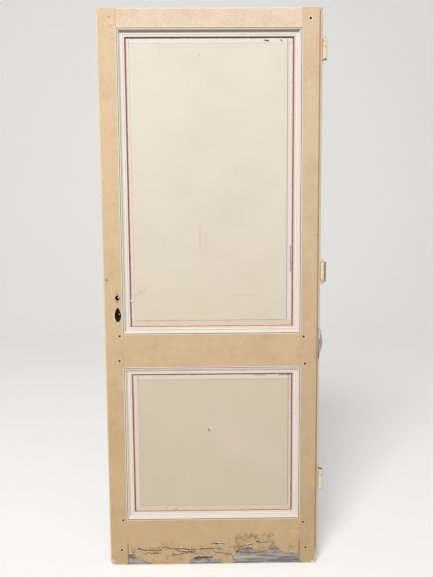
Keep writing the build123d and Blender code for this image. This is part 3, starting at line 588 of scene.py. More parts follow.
@dataclass(frozen=True)
class MemberPaint:
    """Cream paint of a stile or rail, with white paint on its moulding."""

    name: str
    run: Run
    starts: tuple[MouldStart, ...]
    marks: tuple[Mark, ...] = ()
    zones: tuple[Zone, ...] = ()
    bare: tuple[Zone, ...] = ()
    under: tuple[Mark, ...] = ()
    craze: tuple[Zone, ...] = ()
    flush: float = 0.3
    # Share and colour of the painted shade in the moulding's cove
    cove_shade_share: float = 0.14
    cove_shade: Colour = srgb(134, 124, 110)
    torn: bool = False
    cream_high: Colour = srgb(226, 197, 161)
    cream_low: Colour = srgb(205, 174, 131)
    cream_dull: Colour = srgb(190, 156, 112)
    white: Colour = srgb(247, 240, 229)
    quirk: Colour = srgb(116, 94, 74)

    def make(self, groups: Groups) -> bpy.types.Material:
        """Build the material.

        Args:
            groups: The shared node groups.

        Returns:
            The finished material.
        """
        work = Finish(self.name, groups)
        wires = work.wires
        brush = wires.group(groups.brushed, Vector=work.place, Stretch=self.run.value)
        body = self.cream(work, brush)
        for zone in self.zones:
            body = wires.mix(zone.mask(work), body, zone.colour)
        reach = self.reach(work)
        front = wires.step(work.deep, 17.0, 16.0)
        on_mould = wires.times(wires.step(reach, 1.3, 1.9), front)
        body = wires.mix(on_mould, body, self.moulding(work, brush, reach))
        beside = wires.times(front, self.starts[0].mask(work))
        rim, lip = (-1.6, 0.6, 0.75, self.white), (1.1, 0.4, 0.9, self.quirk)
        for centre, soft, share, colour in (rim, lip):
            line = wires.times(work.band(reach, centre, 1.3, soft), share, beside)
            body = wires.mix(line, body, colour)
        body, height = self.crazed(work, body, brush.outputs["Height"])
        body, height = work.marked(body, height, self.marks)
        body, height = self.bared(work, body, height)
        body, height = work.marked(body, height, self.under)
        if self.torn:
            body = self.torn_edge(work, body)
        rough = wires.span(brush.outputs["Tone"], 0.40, 0.62)
        work.feed(Base_Color=body, Specular_IOR_Level=0.3, Roughness=rough)
        work.bump(height, 0.00030)
        return work.material

    def cream(self, work: Finish, brush: bpy.types.Node) -> Socket:
        """Give the flat paint's colour, yellower towards the foot.

        Args:
            work: The material under construction.
            brush: Its brush strokes.

        Returns:
            The colour.
        """
        wires = work.wires
        cream = wires.mix(wires.step(work.up, 0.0, 2000.0), self.cream_low, self.cream_high)
        cloud = wires.noise(work.place, 26.0, 4.0, 0.65)
        return wires.layers(
            cream,
            (brush.outputs["Blotch"], 0.42, 0.75, 0.5, self.cream_dull),
            (cloud, 0.5, 0.3, 0.16, srgb(228, 214, 190)),
            (cloud, 0.5, 0.75, 0.3, srgb(204, 160, 130)),
            (wires.noise(work.place, 230.0, 2.0), 0.5, 0.64, 0.5, self.cream_dull),
            (brush.outputs["Speckle"], 0.5, 0.75, 0.3, srgb(240, 222, 192)),
            (brush.outputs["Tone"], 0.52, 0.3, 0.2, srgb(236, 214, 182)),
        )

    def moulding(self, work: Finish, brush: bpy.types.Node, reach: Socket) -> Socket:
        """Give the moulding's white, with painted shade in its cove and its creases.

        Args:
            work: The material under construction.
            brush: Its brush strokes.
            reach: How far a place lies into the moulding.

        Returns:
            The colour.
        """
        wires = work.wires
        fleck = (brush.outputs["Blotch"], 0.5, 0.8, 0.3, srgb(226, 216, 200))
        white = wires.layers(self.white, fleck)
        crease_shade = srgb(140, 126, 110)
        # Painted shade: a broad band in the cove, then thin lines in the creases of the profile
        lines = (
            (8.5, 3.6, 1.8, self.cove_shade_share, self.cove_shade),
            (14.2, 0.8, 0.5, 0.4, crease_shade),
            (20.4, 0.7, 0.5, 0.35, crease_shade),
            (24.9, 0.6, 0.5, 0.3, crease_shade),
        )
        for centre, half, soft, share, colour in lines:
            mask = wires.times(work.band(reach, centre, half, soft), share)
            white = wires.mix(mask, white, colour)
        if self.flush > 0.0:
            white = wires.layers(white, (reach, 18.0, 22.0, self.flush, srgb(240, 202, 188)))
        return white

    def crazed(self, work: Finish, body: Socket, height: Socket) -> tuple[Socket, Socket]:
        """Lay crazing over the zones that have it.

        Args:
            work: The material under construction.
            body: The colour before.
            height: The height before.

        Returns:
            The colour and the height after.
        """
        wires = work.wires
        for zone in self.craze:
            crack = wires.group(work.groups.crazing, Vector=work.place).outputs["Mask"]
            patchy = wires.step(wires.noise(work.place, 28.0, 3.0), 0.42, 0.6)
            mask = wires.times(crack, patchy, zone.mask(work))
            body = wires.mix(mask, body, zone.colour)
            height = wires.minus(height, wires.times(mask, 1.6))
        return body, height

    def bared(self, work: Finish, body: Socket, height: Socket) -> tuple[Socket, Socket]:
        """Show bare wood in the zones that have lost their paint.

        Args:
            work: The material under construction.
            body: The colour before.
            height: The height before.

        Returns:
            The colour and the height after.
        """
        wires = work.wires
        for zone in self.bare:
            wood = wires.group(work.groups.wood, Vector=work.place, Stretch=self.run.value)
            tint = wires.mix(0.2, wood.outputs["Color"], zone.colour)
            mask = zone.mask(work)
            body = wires.mix(mask, body, tint)
            rise = wires.times(wood.outputs["Height"], wires.times(mask, 3.0))
            height = wires.plus(height, rise)
        return body, height

    def torn_edge(self, work: Finish, body: Socket) -> Socket:
        """Show soiling along the film's torn borders, the pale undercoat partly painted as
        highlight on the lifted lips, and a dark border of soiling and painted shade.

        Args:
            work: The material under construction.
            body: The colour before.

        Returns:
            The colour after.
        """
        wires = work.wires
        away = wires.node("ShaderNodeAttribute", attribute_name="torn").outputs["Fac"]
        waver = wires.times(wires.noise(work.place, 160.0, 3.0), 5.0)
        near = wires.minus(away, wires.minus(waver, 2.0))
        body = wires.layers(body, (near, 9.0, 1.0, 0.3, srgb(170, 140, 104)))
        # Pale undercoat, also a painted highlight on the lifted lips
        broken = wires.step(wires.noise(work.place, 120.0, 3.0), 0.46, 0.58)
        pale = wires.times(wires.step(near, 4.2, 2.0), broken, 0.85)
        body = wires.mix(pale, body, srgb(240, 230, 212))
        # Dark border of soiling and painted shade at the lips
        return wires.layers(body, (away, 1.6, 0.5, 0.9, srgb(78, 58, 42)))

    def reach(self, work: Finish) -> Socket:
        """Measure how far a place lies into the moulding.

        Args:
            work: The material under construction.

        Returns:
            The distance in millimetres.
        """
        wires = work.wires
        total: Value = -999.0
        for start in self.starts:
            source = work.across if start.along == "x" else work.up
            away = wires.minus(source, start.start)
            total = wires.math("MAXIMUM", total, wires.times(away, start.towards))
        return total


@dataclass(frozen=True)
class SideLine:
    """Old paint along one side of a panel: a core and a fringe, with the share of painted shade
    along the field's step.
    """

    core: Colour
    core_width: float
    fringe: Colour
    fringe_width: float
    crease_shade: float


PINK = srgb(234, 208, 196)
# Last field: share of painted shade along the field's step, full at the foot and faint at the top
LEFT_LINE = SideLine(srgb(142, 84, 74), 5.2, PINK, 6.0, 0.3)
RIGHT_LINE = SideLine(srgb(130, 78, 68), 4.8, PINK, 3.0, 0.5)
FOOT_LINE = SideLine(srgb(146, 104, 84), 2.2, srgb(228, 206, 184), 24.0, 1.0)
# The top line's core is red-brown paint darkened further by painted shadow cast by the moulding
# above
TOP_LINE = SideLine(srgb(92, 62, 46), 5.4, PINK, 2.2, 0.25)


@dataclass(frozen=True)
class PanelPaint:
    """Ivory paint of a raised panel, with white on its bevel and red-brown at its edge."""

    name: str
    left: float
    right: float
    low: float
    high: float
    shift: float
    marks: tuple[Mark, ...] = ()
    side_margin: float = 21.0
    end_margin: float = 24.5
    ivory_high: Colour = srgb(228, 219, 204)
    ivory_low: Colour = srgb(218, 204, 177)
    ivory_dull: Colour = srgb(204, 190, 162)
    bevel: Colour = srgb(228, 222, 216)

    def make(self, groups: Groups) -> bpy.types.Material:
        """Build the material.

        Args:
            groups: The shared node groups.

        Returns:
            The finished material.
        """
        work = Finish(self.name, groups, -1.0)
        wires = work.wires
        stretch = Run.UPRIGHT.value
        brush = wires.group(
            groups.brushed, Vector=work.place, Stretch=stretch, Strokes=300.0, Blotches=4.0
        )
        body = self.edges(work, self.ivory(work, brush))
        body, height = work.marked(body, brush.outputs["Height"], self.marks)
        work.feed(Base_Color=body, Roughness=wires.span(brush.outputs["Tone"], 0.38, 0.55))
        work.bump(height, 0.00022)
        return work.material

    def ivory(self, work: Finish, brush: bpy.types.Node) -> Socket:
        """Give the field's ivory, yellower towards the foot.

        Args:
            work: The material under construction.
            brush: Its brush strokes.

        Returns:
            The colour.
        """
        wires = work.wires
        ivory = wires.mix(wires.step(work.up, 300.0, 1900.0), self.ivory_low, self.ivory_high)
        cloud = wires.noise(work.place, 3.2, 2.0, 0.5)
        return wires.layers(
            ivory,
            (brush.outputs["Blotch"], 0.45, 0.8, 0.3, self.ivory_dull),
            (cloud, 0.5, 0.75, 0.3, srgb(206, 202, 176)),
            (cloud, 0.5, 0.25, 0.35, srgb(222, 206, 190)),
            (brush.outputs["Speckle"], 0.55, 0.8, 0.2, self.ivory_dull),
        )

    def edges(self, work: Finish, body: Socket) -> Socket:
        """Lay the white bevel, painted shade along the field's step and the old red-brown line.

        Args:
            work: The material under construction.
            body: The colour before.

        Returns:
            The colour after.
        """
        wires = work.wires
        waver = wires.minus(wires.noise(work.place, 85.0, 4.0, 0.65), 0.5)
        chips = wires.minus(wires.noise(work.place, 210.0, 2.0, 0.5), 0.5)
        rag = wires.plus(wires.times(waver, 5.0), wires.times(chips, 3.0))
        sides = (
            (wires.minus(work.across, self.left), self.side_margin + self.shift, LEFT_LINE),
            (wires.minus(self.right, work.across), self.side_margin - self.shift, RIGHT_LINE),
            (wires.minus(work.up, self.low), self.end_margin, FOOT_LINE),
            (wires.minus(self.high, work.up), self.end_margin, TOP_LINE),
        )
        near: Value = 999.0
        for away, margin, _ in sides:
            near = wires.math("MINIMUM", near, wires.minus(away, margin))
        front = wires.step(work.deep, 0.0, -2.0)
        off_field = wires.times(wires.step(near, 0.3, -0.3), front)
        body = wires.mix(off_field, body, self.bevel)
        # Painted shade on the bevel along the field's step
        for away, margin, line in sides:
            mask = wires.times(work.band(away, margin - 1.6, 1.7, 0.8), line.crease_shade, off_field)
            body = wires.mix(mask, body, srgb(106, 90, 70))
        for away, _, line in sides:
            reach = line.core_width + line.fringe_width
            mask = wires.step(wires.plus(away, rag), reach + 1.0, reach - 1.0)
            body = wires.mix(wires.times(mask, off_field), body, line.fringe)
        for away, _, line in sides:
            torn = wires.plus(away, wires.times(rag, 0.7))
            mask = wires.step(torn, line.core_width + 0.5, line.core_width - 0.5)
            body = wires.mix(wires.times(mask, off_field), body, line.core)
        return body


@dataclass(frozen=True)
class PlainFinish:
    """Metal or wood of one kind, with its wear in blotches and specks."""

    name: str
    light: Colour
    dark: Colour
    metallic: float = 0.0
    rough_low: float = 0.35
    rough_high: float = 0.6
    run: Run = Run.ALL_WAYS
    strokes: float = 900.0
    blotches: float = 60.0
    relief: float = 0.0001
    sheen: float = 0.4
    wear: Point = (0.35, 0.75)
    zones: tuple[Zone, ...] = ()
    marks: tuple[Mark, ...] = ()

    def make(self, groups: Groups) -> bpy.types.Material:
        """Build the material.

        Args:
            groups: The shared node groups.

        Returns:
            The finished material.
        """
        work = Finish(self.name, groups)
        wires = work.wires
        brush = wires.group(
            groups.brushed,
            Vector=work.place,
            Stretch=self.run.value,
            Strokes=self.strokes,
            Blotches=self.blotches,
        )
        wear = wires.step(brush.outputs["Blotch"], *self.wear)
        tone = wires.times(wires.step(brush.outputs["Tone"], 0.45, 0.8), 0.5)
        body = wires.mix(tone, wires.mix(wear, self.light, self.dark), self.dark)
        for zone in self.zones:
            body = wires.mix(zone.mask(work), body, zone.colour)
        body, height = work.marked(body, brush.outputs["Height"], self.marks)
        rough = wires.span(wear, self.rough_low, self.rough_high)
        work.feed(
            Base_Color=body, Metallic=self.metallic, Specular_IOR_Level=self.sheen, Roughness=rough
        )
        work.bump(height, self.relief)
        return work.material


def dress(node: str, material: bpy.types.Material) -> None:
    """Give a CAD node its finish.

    Args:
        node: The node's name.
        material: Its material.
    """
    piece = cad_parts[node]
    if not piece.material_slots:
        piece.data.materials.append(material)
    for slot in piece.material_slots:
        slot.material = material
    LOG.info("dressed %s in %s", node, material.name)


def new_piece(name: str, mesh: bpy.types.Mesh, material: bpy.types.Material) -> bpy.types.Object:
    """Put a finished mesh into the scene at the origin.

    Args:
        name: The piece's name.
        mesh: Its mesh, in the shared frame.
        material: Its finish.

    Returns:
        The new object.
    """
    mesh.materials.clear()
    mesh.materials.append(material)
    piece = bpy.data.objects.new(name, mesh)
    bpy.context.scene.collection.objects.link(piece)
    LOG.info("made %s with %d faces", name, len(mesh.polygons))
    return piece


# Colours of the marks: soiling and painted shade, brown wood, undercoat and painted highlight, worn
# paint, grey wood and old pink
DARK = srgb(44, 32, 24)
BROWN = srgb(104, 74, 50)
PALE = srgb(246, 234, 214)
BONE = srgb(226, 214, 194)
GREY = srgb(128, 118, 106)
ROSE = srgb(206, 158, 136)


def marks(*rows: tuple) -> tuple[Mark, ...]:
    """Make marks from rows of start across and up, end across and up, and the other fields."""
    return tuple(Mark((x, z), (far_x, far_z), *rest) for x, z, far_x, far_z, *rest in rows)


def peg_marks(*places: Point) -> tuple[Mark, ...]:
    """Give the pale halo and the dark ring round each peg.

    Args:
        places: Where the pegs are, across and up.

    Returns:
        The marks, halos before rings.
    """
    halos = tuple(Mark(p, p, 7.0, PALE, 2.0, 0.4, 2.0, 0.0) for p in places)
    rings = tuple(Mark(p, p, 4.6, DARK, 0.8, 0.8, 0.6, 0.25) for p in places)
    return halos + rings


# Rows: start across and up, end across and up, half width, colour, raggedness, share,
# softness and depth, in millimetres on the leaf
LOCK_STILE_MARKS = peg_marks(
    (45.5, 2026), (56, 893), (53.6, 800), (52.6, 180), (44.8, 60)
) + marks(
    (51.3, 1048, 51.3, 1046, 3.2, ROSE, 2.4, 0.8, 1.2, 0.3),
    (51.3, 1020, 51.3, 1022, 5.5, ROSE, 3, 0.75, 2, 0.3),
    # Painted shade: dark dots over the rose's two screw holes
    (51.3, 1047, 51.3, 1047.4, 1.8, DARK, 0.5, 0.85, 0.4, 0.2),
    (51.3, 1020.5, 51.3, 1021, 2, DARK, 0.5, 0.85, 0.4, 0.2),
    (44, 1021, 41, 1022, 1, GREY, 1, 0.7, 0.4, 0.2),
    # Painted highlight: pale strokes along the keyhole's rim
    (38, 950, 37, 985, 1.5, PALE, 1.2, 0.8, 0.7, 0.2),
    (64.8, 950, 64.6, 984, 1.2, PALE, 1.2, 0.6, 0.7, 0.2),
    (51.3, 942.5, 52, 941, 2.4, PALE, 1.2, 0.7, 0.8, 0.2),
    (13, 1104, 14.4, 1099, 1.8, DARK, 0.8, 1, 0.3, 0.4),
    (48, 1993, 52, 1999, 0.8, GREY, 0.8, 0.7, 0.3, 0.3),
    (52, 1999, 57, 1995, 0.8, GREY, 0.8, 0.7, 0.3, 0.3),
    (68.8, 0, 68.4, 84, 0.9, DARK, 0.5, 0.9, 0.3, 0.6),
    (69.4, 1992, 69.4, 2057, 0.5, BROWN, 0.4, 0.35, 0.3, 0.2),
    (69.4, 776, 69.4, 896, 0.5, BROWN, 0.4, 0.3, 0.3, 0.2),
    (2, 24, 22, 3, 5, BONE, 3, 0.9, 1.5, 0.3),
    (24, 2, 58, 1.5, 2.6, BONE, 2.4, 0.85, 1, 0.3),
    (14, 10, 24, 4, 1.8, GREY, 1.6, 0.7, 0.7, 0.3),
)
HINGE_STILE_MARKS = peg_marks((739, 886), (745, 783.5), (742, 165), (752.7, 62.5)) + marks(
    (755.8, 2020, 755.8, 2020, 8, PALE, 1, 0.8, 1.6, 0.1),
    (755.8, 2020, 755.8, 2020, 4.6, DARK, 0.4, 1, 0.4, 0.3),
    (728.4, 0, 728.2, 92, 0.9, DARK, 0.5, 0.9, 0.3, 0.6),
    (726.6, 1992, 726.6, 2057, 0.5, BROWN, 0.4, 0.35, 0.3, 0.2),
    (726.6, 776, 726.6, 896, 0.5, BROWN, 0.4, 0.3, 0.3, 0.2),
    (797.6, 914, 796, 826, 1.5, DARK, 1, 0.85, 0.4, 0.5),
    (796, 822, 797, 806, 2.6, BROWN, 2, 0.95, 0.6, 0.6),
    (792, 916, 796, 906, 1.4, BROWN, 1, 0.6, 0.5, 0.4),
    (787, 1262, 788, 1259, 1.5, DARK, 0.8, 0.9, 0.4, 0.4),
    (786, 3, 796, 40, 3.6, BONE, 2.4, 0.85, 1.2, 0.3),
    (776, 5, 788, 7, 3, PALE, 1.8, 0.9, 1, 0.3),
    (731, 8, 737, 3, 3, GREY, 2.4, 0.7, 1, 0.3),
)
RAIL_NICKS_AND_SHADE = marks(
    (338, 898, 344, 898.5, 0.9, GREY, 0.7, 0.6, 0.3, 0.3),
    (372, 898.5, 378, 898, 0.9, GREY, 0.7, 0.6, 0.3, 0.3),
    # Painted shade: a dark line in the cove of the rail's lower run
    (80, 764, 716, 764, 3, srgb(110, 96, 80), 0.6, 0.8, 1.2, 0),
)
BARE_WOOD_STAINS = marks(
    (480, 24, 560, 28, 5, srgb(202, 196, 190), 5, 0.75, 2, 0),
    (560, 26, 640, 20, 4, srgb(196, 190, 182), 5, 0.7, 2, 0),
    (640, 30, 722, 32, 3.5, srgb(190, 182, 172), 5, 0.6, 2, 0),
    (500, 42, 600, 46, 2, DARK, 4, 0.5, 1, 0.3),
    (600, 10, 724, 14, 3, srgb(102, 84, 82), 4, 0.6, 1.5, 0.3),
    (486, 6, 590, 8, 2.4, srgb(110, 92, 88), 4, 0.5, 1.5, 0.3),
    (324, 24, 388, 28, 4, srgb(66, 64, 54), 4, 0.85, 1.5, 0.3),
    (330, 8, 372, 12, 2.4, srgb(214, 196, 166), 4, 0.7, 1, 0.3),
    (74, 34, 92, 26, 4, srgb(84, 78, 74), 4, 0.7, 1.5, 0.3),
    (100, 14, 140, 6, 3, srgb(190, 182, 172), 4, 0.7, 1.5, 0.3),
)
FAINT = srgb(150, 140, 116)
UPPER_PANEL_MARKS = marks(
    (360, 1903.5, 360.4, 1900, 1.3, GREY, 0.8, 0.8, 0.5, 0.3),
    (413.5, 1894, 414, 1892.5, 1.2, GREY, 0.8, 0.7, 0.5, 0.3),
    (357.8, 1300, 357, 1210, 0.6, FAINT, 0.8, 0.7, 0.3, 0.4),
    (103, 1016, 141, 1063, 0.8, ROSE, 1.4, 0.5, 0.4, 0.2),
    (112, 1043, 156, 1062, 0.8, FAINT, 1.4, 0.35, 0.4, 0.2),
    (150, 1066, 176, 1080, 0.6, FAINT, 1, 0.4, 0.4, 0.2),
    (176, 1042, 210, 1040, 0.6, FAINT, 1.4, 0.35, 0.4, 0.2),
    (470, 1039, 575, 1041, 0.6, FAINT, 1.4, 0.3, 0.4, 0.2),
    (690.2, 1222, 690.8, 1128, 1.2, srgb(104, 70, 62), 0.5, 0.95, 0.3, 0.6),
    (99.5, 1026, 99.5, 1022, 2, PALE, 0.9, 1, 0.5, 0.2),
    (99, 1038, 99, 1034, 1.4, BROWN, 0.9, 0.9, 0.4, 0.3),
    (99.8, 1017, 99.8, 1014, 1.2, BROWN, 0.7, 0.9, 0.4, 0.3),
    (594, 1953, 609, 1950, 2.4, DARK, 2.4, 0.95, 0.6, 0.3),
    (652, 1953, 656, 1950, 2, DARK, 1.6, 0.9, 0.6, 0.3),
    (585, 1955, 640, 1955, 1.2, PALE, 2, 0.7, 0.6, 0.2),
    (473, 939, 503, 938.5, 2.2, BONE, 2.4, 0.7, 0.8, 0.2),
    (212, 934, 222, 934, 2, PALE, 2.4, 0.7, 0.8, 0.2),
)
LOWER_PANEL_MARKS = marks(
    (383, 531, 386, 525, 2, DARK, 1, 1, 0.5, 0.4),
    (391, 535, 396, 538, 1.4, PALE, 1.2, 0.8, 0.5, 0.2),
    (254, 216, 257.5, 214.5, 1.6, BROWN, 1.2, 0.95, 0.4, 0.3),
    (219, 221, 224, 221.5, 1.2, GREY, 1.2, 0.7, 0.4, 0.3),
    (527, 219, 563, 219.5, 2, PALE, 2.4, 0.8, 0.8, 0.2),
    (531, 218.6, 535, 218.6, 1, BROWN, 1.2, 0.9, 0.4, 0.3),
    (546, 218.8, 556, 218.8, 0.9, GREY, 1.2, 0.8, 0.4, 0.3),
    (650, 738, 690, 738.5, 1.4, BROWN, 2.6, 0.8, 0.6, 0.3),
    (560, 738, 600, 738.5, 1.2, BROWN, 2.6, 0.6, 0.6, 0.3),
)


@dataclass
class Woodwork:
    """The five framing members, their pegs and wedges, and the two panels."""

    groups: Groups
    lock_face: float = 70.0
    hinge_face: float = 726.0
    top_face: float = 1990.0
    lock_rail: Point = (772.0, 900.0)
    bottom_face: float = 181.0
    mould: float = 25.5
    line_shift: float = 3.7
    openings: tuple[Point, ...] = ((179.0, 774.0), (898.0, 1992.0))
    end_grain: Zone = Zone((-5.0, 805.0), (-5.0, 1.0), (-25.0, 25.0), BROWN, 0.9, 0.6)

    def build(self) -> None:
        """Dress every wooden piece."""
        self.stiles()
        self.rails()
        self.panels()
        sunk = Zone((40.0, 51.0), (2020.0, 2032.0), (-30.0, 30.0), srgb(216, 186, 150), 0.85)
        peg = PlainFinish(
            "peg_paint", srgb(74, 52, 36), srgb(36, 26, 20), strokes=1400.0, sheen=0.1,
            zones=(sunk,),
        )
        dress("joint_pegs", peg.make(self.groups))
        wedge = PlainFinish("wedge_wood", srgb(176, 142, 100), srgb(122, 92, 62), run=Run.ACROSS)
        dress("tenon_wedges", wedge.make(self.groups))

    def stiles(self) -> None:
        """Dress the two stiles."""
        strip = Zone((-9.0, 5.5), (20.0, 2040.0), (-25.0, -14.0), srgb(240, 226, 200), 0.7, 1.6)
        lock_zones = (
            strip,
            # Painted shade: near-black inside the lock mortise, keyhole and spindle hole, behind
            # the front face
            Zone((30.0, 66.5), (938.0, 1075.0), (-19.9, 19.9), srgb(24, 17, 12), 1.0, 0.3),
        )
        start = (MouldStart("x", self.lock_face, 1.0, self.openings),)
        paint = MemberPaint(
            "lock_stile_paint", Run.UPRIGHT, start, LOCK_STILE_MARKS, lock_zones,
            (self.end_grain,), cove_shade_share=0.4, cove_shade=srgb(192, 194, 186),
        )
        dress("lock_stile", paint.make(self.groups))
        hinge_zones = (
            # Painted shade: brown band along the rounded arris of the hinge edge
            Zone((786.0, 793.0), (60.0, 2050.0), (-25.0, -14.0), srgb(150, 116, 76), 0.7, 1.6),
            Zone((793.0, 812.0), (60.0, 2050.0), (-25.0, -8.0), srgb(236, 220, 192), 0.7, 1.6),
            # Painted shade: dark inside the empty peg hole
            Zone((751.0, 761.0), (2015.0, 2025.0), (-19.6, 19.6), DARK, 1.0, 0.5),
        )
        torn = (
            self.end_grain,
            Zone((797.5, 830.0), (818.0, 924.0), (-25.0, -6.6), srgb(240, 232, 220), 1.0, 1.0),
            Zone((786.0, 812.0), (-5.0, 14.0), (-25.0, 25.0), srgb(220, 208, 190), 0.9, 3.0),
        )
        start = (MouldStart("x", self.hinge_face, -1.0, self.openings),)
        paint = MemberPaint(
            "hinge_stile_paint", Run.UPRIGHT, start, HINGE_STILE_MARKS, hinge_zones, torn,
            flush=0.85, cove_shade_share=0.55, cove_shade=srgb(204, 210, 214),
            cream_high=srgb(221, 194, 163), cream_low=srgb(197, 168, 130),
        )
        dress("hinge_stile", paint.make(self.groups))

    def rails(self) -> None:
        """Dress the three rails."""
        low, high = self.lock_rail
        edge = Zone((10.0, 790.0), (2052.5, 2062.0), (-25.0, -14.0), srgb(246, 236, 216), 0.7, 1.6)
        top = MemberPaint(
            "top_rail_paint", Run.ACROSS, (MouldStart("z", self.top_face, -1.0),), (), (edge,),
            cream_high=srgb(234, 212, 188), cove_shade_share=0.85, flush=0.0,
        )
        dress("top_rail", top.make(self.groups))
        starts = (MouldStart("z", low, -1.0), MouldStart("z", high, 1.0))
        rail = MemberPaint("lock_rail_paint", Run.ACROSS, starts, RAIL_NICKS_AND_SHADE)
        dress("lock_rail", rail.make(self.groups))
        starts = (MouldStart("z", self.bottom_face, 1.0),)
        bare = (
            self.end_grain,
            Zone((60.0, 736.0), (-5.0, 120.0), (-25.0, -14.0), srgb(140, 132, 124), 1.0, 0.5),
        )
        # Painted shade: dark strokes along the cracks, seen through the film's gaps
        sides = [side for path in CRACKS for side in zip(path, path[1:])]
        gaps = tuple(Mark(start, end, 3.0, DARK, 0.8, 0.9, 1.0) for start, end in sides)
        rail = MemberPaint(
            "bottom_rail_paint", Run.ACROSS, starts, bare=bare, under=BARE_WOOD_STAINS + gaps
        )
        dress("bottom_rail", rail.make(self.groups))
        crackle = (
            Zone((180.0, 260.0), (58.0, 98.0), (-60.0, 30.0), BROWN, 0.55, 6.0),
            Zone((450.0, 640.0), (58.0, 128.0), (-60.0, 30.0), BROWN, 0.6, 12.0),
            Zone((76.0, 720.0), (-12.0, 76.0), (-60.0, 30.0), BROWN, 0.4, 10.0),
        )
        film = MemberPaint("torn_paint", Run.ACROSS, starts, craze=crackle, torn=True)
        chip = PlainFinish(
            "chip_paint", srgb(226, 204, 166), srgb(128, 96, 66), strokes=500.0, blotches=120.0,
            wear=(0.4, 0.6),
        )
        PaintFilm(film.make(self.groups), chip.make(self.groups)).build()

    def panels(self) -> None:
        """Dress the two raised panels."""
        left, right = self.lock_face + self.mould, self.hinge_face - self.mould
        top, low = self.top_face - self.mould, self.lock_rail[1] + self.mould
        paint = PanelPaint(
            "upper_panel_paint", left, right, low, top, -self.line_shift, UPPER_PANEL_MARKS
        )
        dress("upper_panel", paint.make(self.groups))
        top, low = self.lock_rail[0] - self.mould, self.bottom_face + self.mould
        paint = PanelPaint(
            "lower_panel_paint", left, right, low, top, self.line_shift, LOWER_PANEL_MARKS,
            ivory_high=srgb(214, 202, 181), ivory_low=srgb(211, 198, 175),
            bevel=srgb(222, 209, 196),
        )
        dress("lower_panel", paint.make(self.groups))


Path = tuple[Point, ...]
# Outlines of the bare patches and courses of the cracks, in millimetres across and up
HOLES: tuple[Path, ...] = (
    ((473, -9), (473, 25), (485, 49), (504, 61), (527, 69), (539, 68), (550, 58), (562, 51),
     (585, 50), (608, 55), (618, 67), (630, 73), (643, 65), (659, 49), (674, 38), (694, 42),
     (722, 44), (740, 50), (740, -9)),
    ((50, -9), (50, 43), (84, 42), (97, 33), (109, 21), (131, 13), (150, 9), (166, -9)),
    ((298, -9), (307, 12), (315, 22), (322, 26), (336, 30), (364, 32), (391, 33), (396, 22),
     (409, 18), (425, 12), (441, -9)),
    ((107, 62), (109, 68), (116, 69), (121, 64), (114, 60)),
)
CRACKS: tuple[Path, ...] = (
    ((112, 65), (129, 62), (133, 58), (194, 57), (200, 67), (215, 70), (238, 65), (280, 64),
     (300, 60), (338, 60), (364, 64), (377, 63), (408, 64), (441, 59)),
    ((238, 45), (248, 39), (271, 42), (290, 46), (312, 47), (335, 41)),
    ((133, 46), (161, 47), (197, 47)),
    ((389, 82), (412, 83), (439, 81)),
    ((485, 50), (500, 67), (523, 75), (548, 77)),
    ((560, 88), (583, 84), (608, 86)),
    ((250, 62), (262, 52), (300, 53), (330, 50)),
    ((395, 60), (402, 46), (428, 44), (447, 40), (468, 38)),
)


def from_path(places: np.ndarray, path: Path, closed: bool) -> np.ndarray:
    """Measure how far places lie from a path.

    Args:
        places: Places across and up, one to a row.
        path: The path's corners.
        closed: Whether it is an outline; places inside it then count as negative.

    Returns:
        A distance for each place, in the path's unit.
    """
    corners = np.array(path, dtype=float)
    starts = corners if closed else corners[:-1]
    ends = np.roll(corners, -1, axis=0) if closed else corners[1:]
    nearest = np.full(len(places), np.inf)
    inside = np.zeros(len(places), dtype=bool)
    for start, end in zip(starts, ends):
        course = end - start
        share = np.clip((places - start) @ course / (course @ course), 0.0, 1.0)
        away = np.linalg.norm(places - start - share[:, None] * course, axis=1)
        nearest = np.minimum(nearest, away)
        if closed and start[1] != end[1]:
            between = (start[1] > places[:, 1]) != (end[1] > places[:, 1])
            at_height = start[0] + course[0] * (places[:, 1] - start[1]) / course[1]
            inside ^= between & (places[:, 0] < at_height)
    return np.where(inside, -nearest, nearest)


def ripple(places: np.ndarray, scale: float, seed: float) -> np.ndarray:
    """Give a smooth seeded noise of about -1 to 1 for each place."""
    values = [noise.fractal(Vector((x * scale, z * scale, seed)), 0.9, 2.0, 3) for x, z in places]
    return np.array(values)


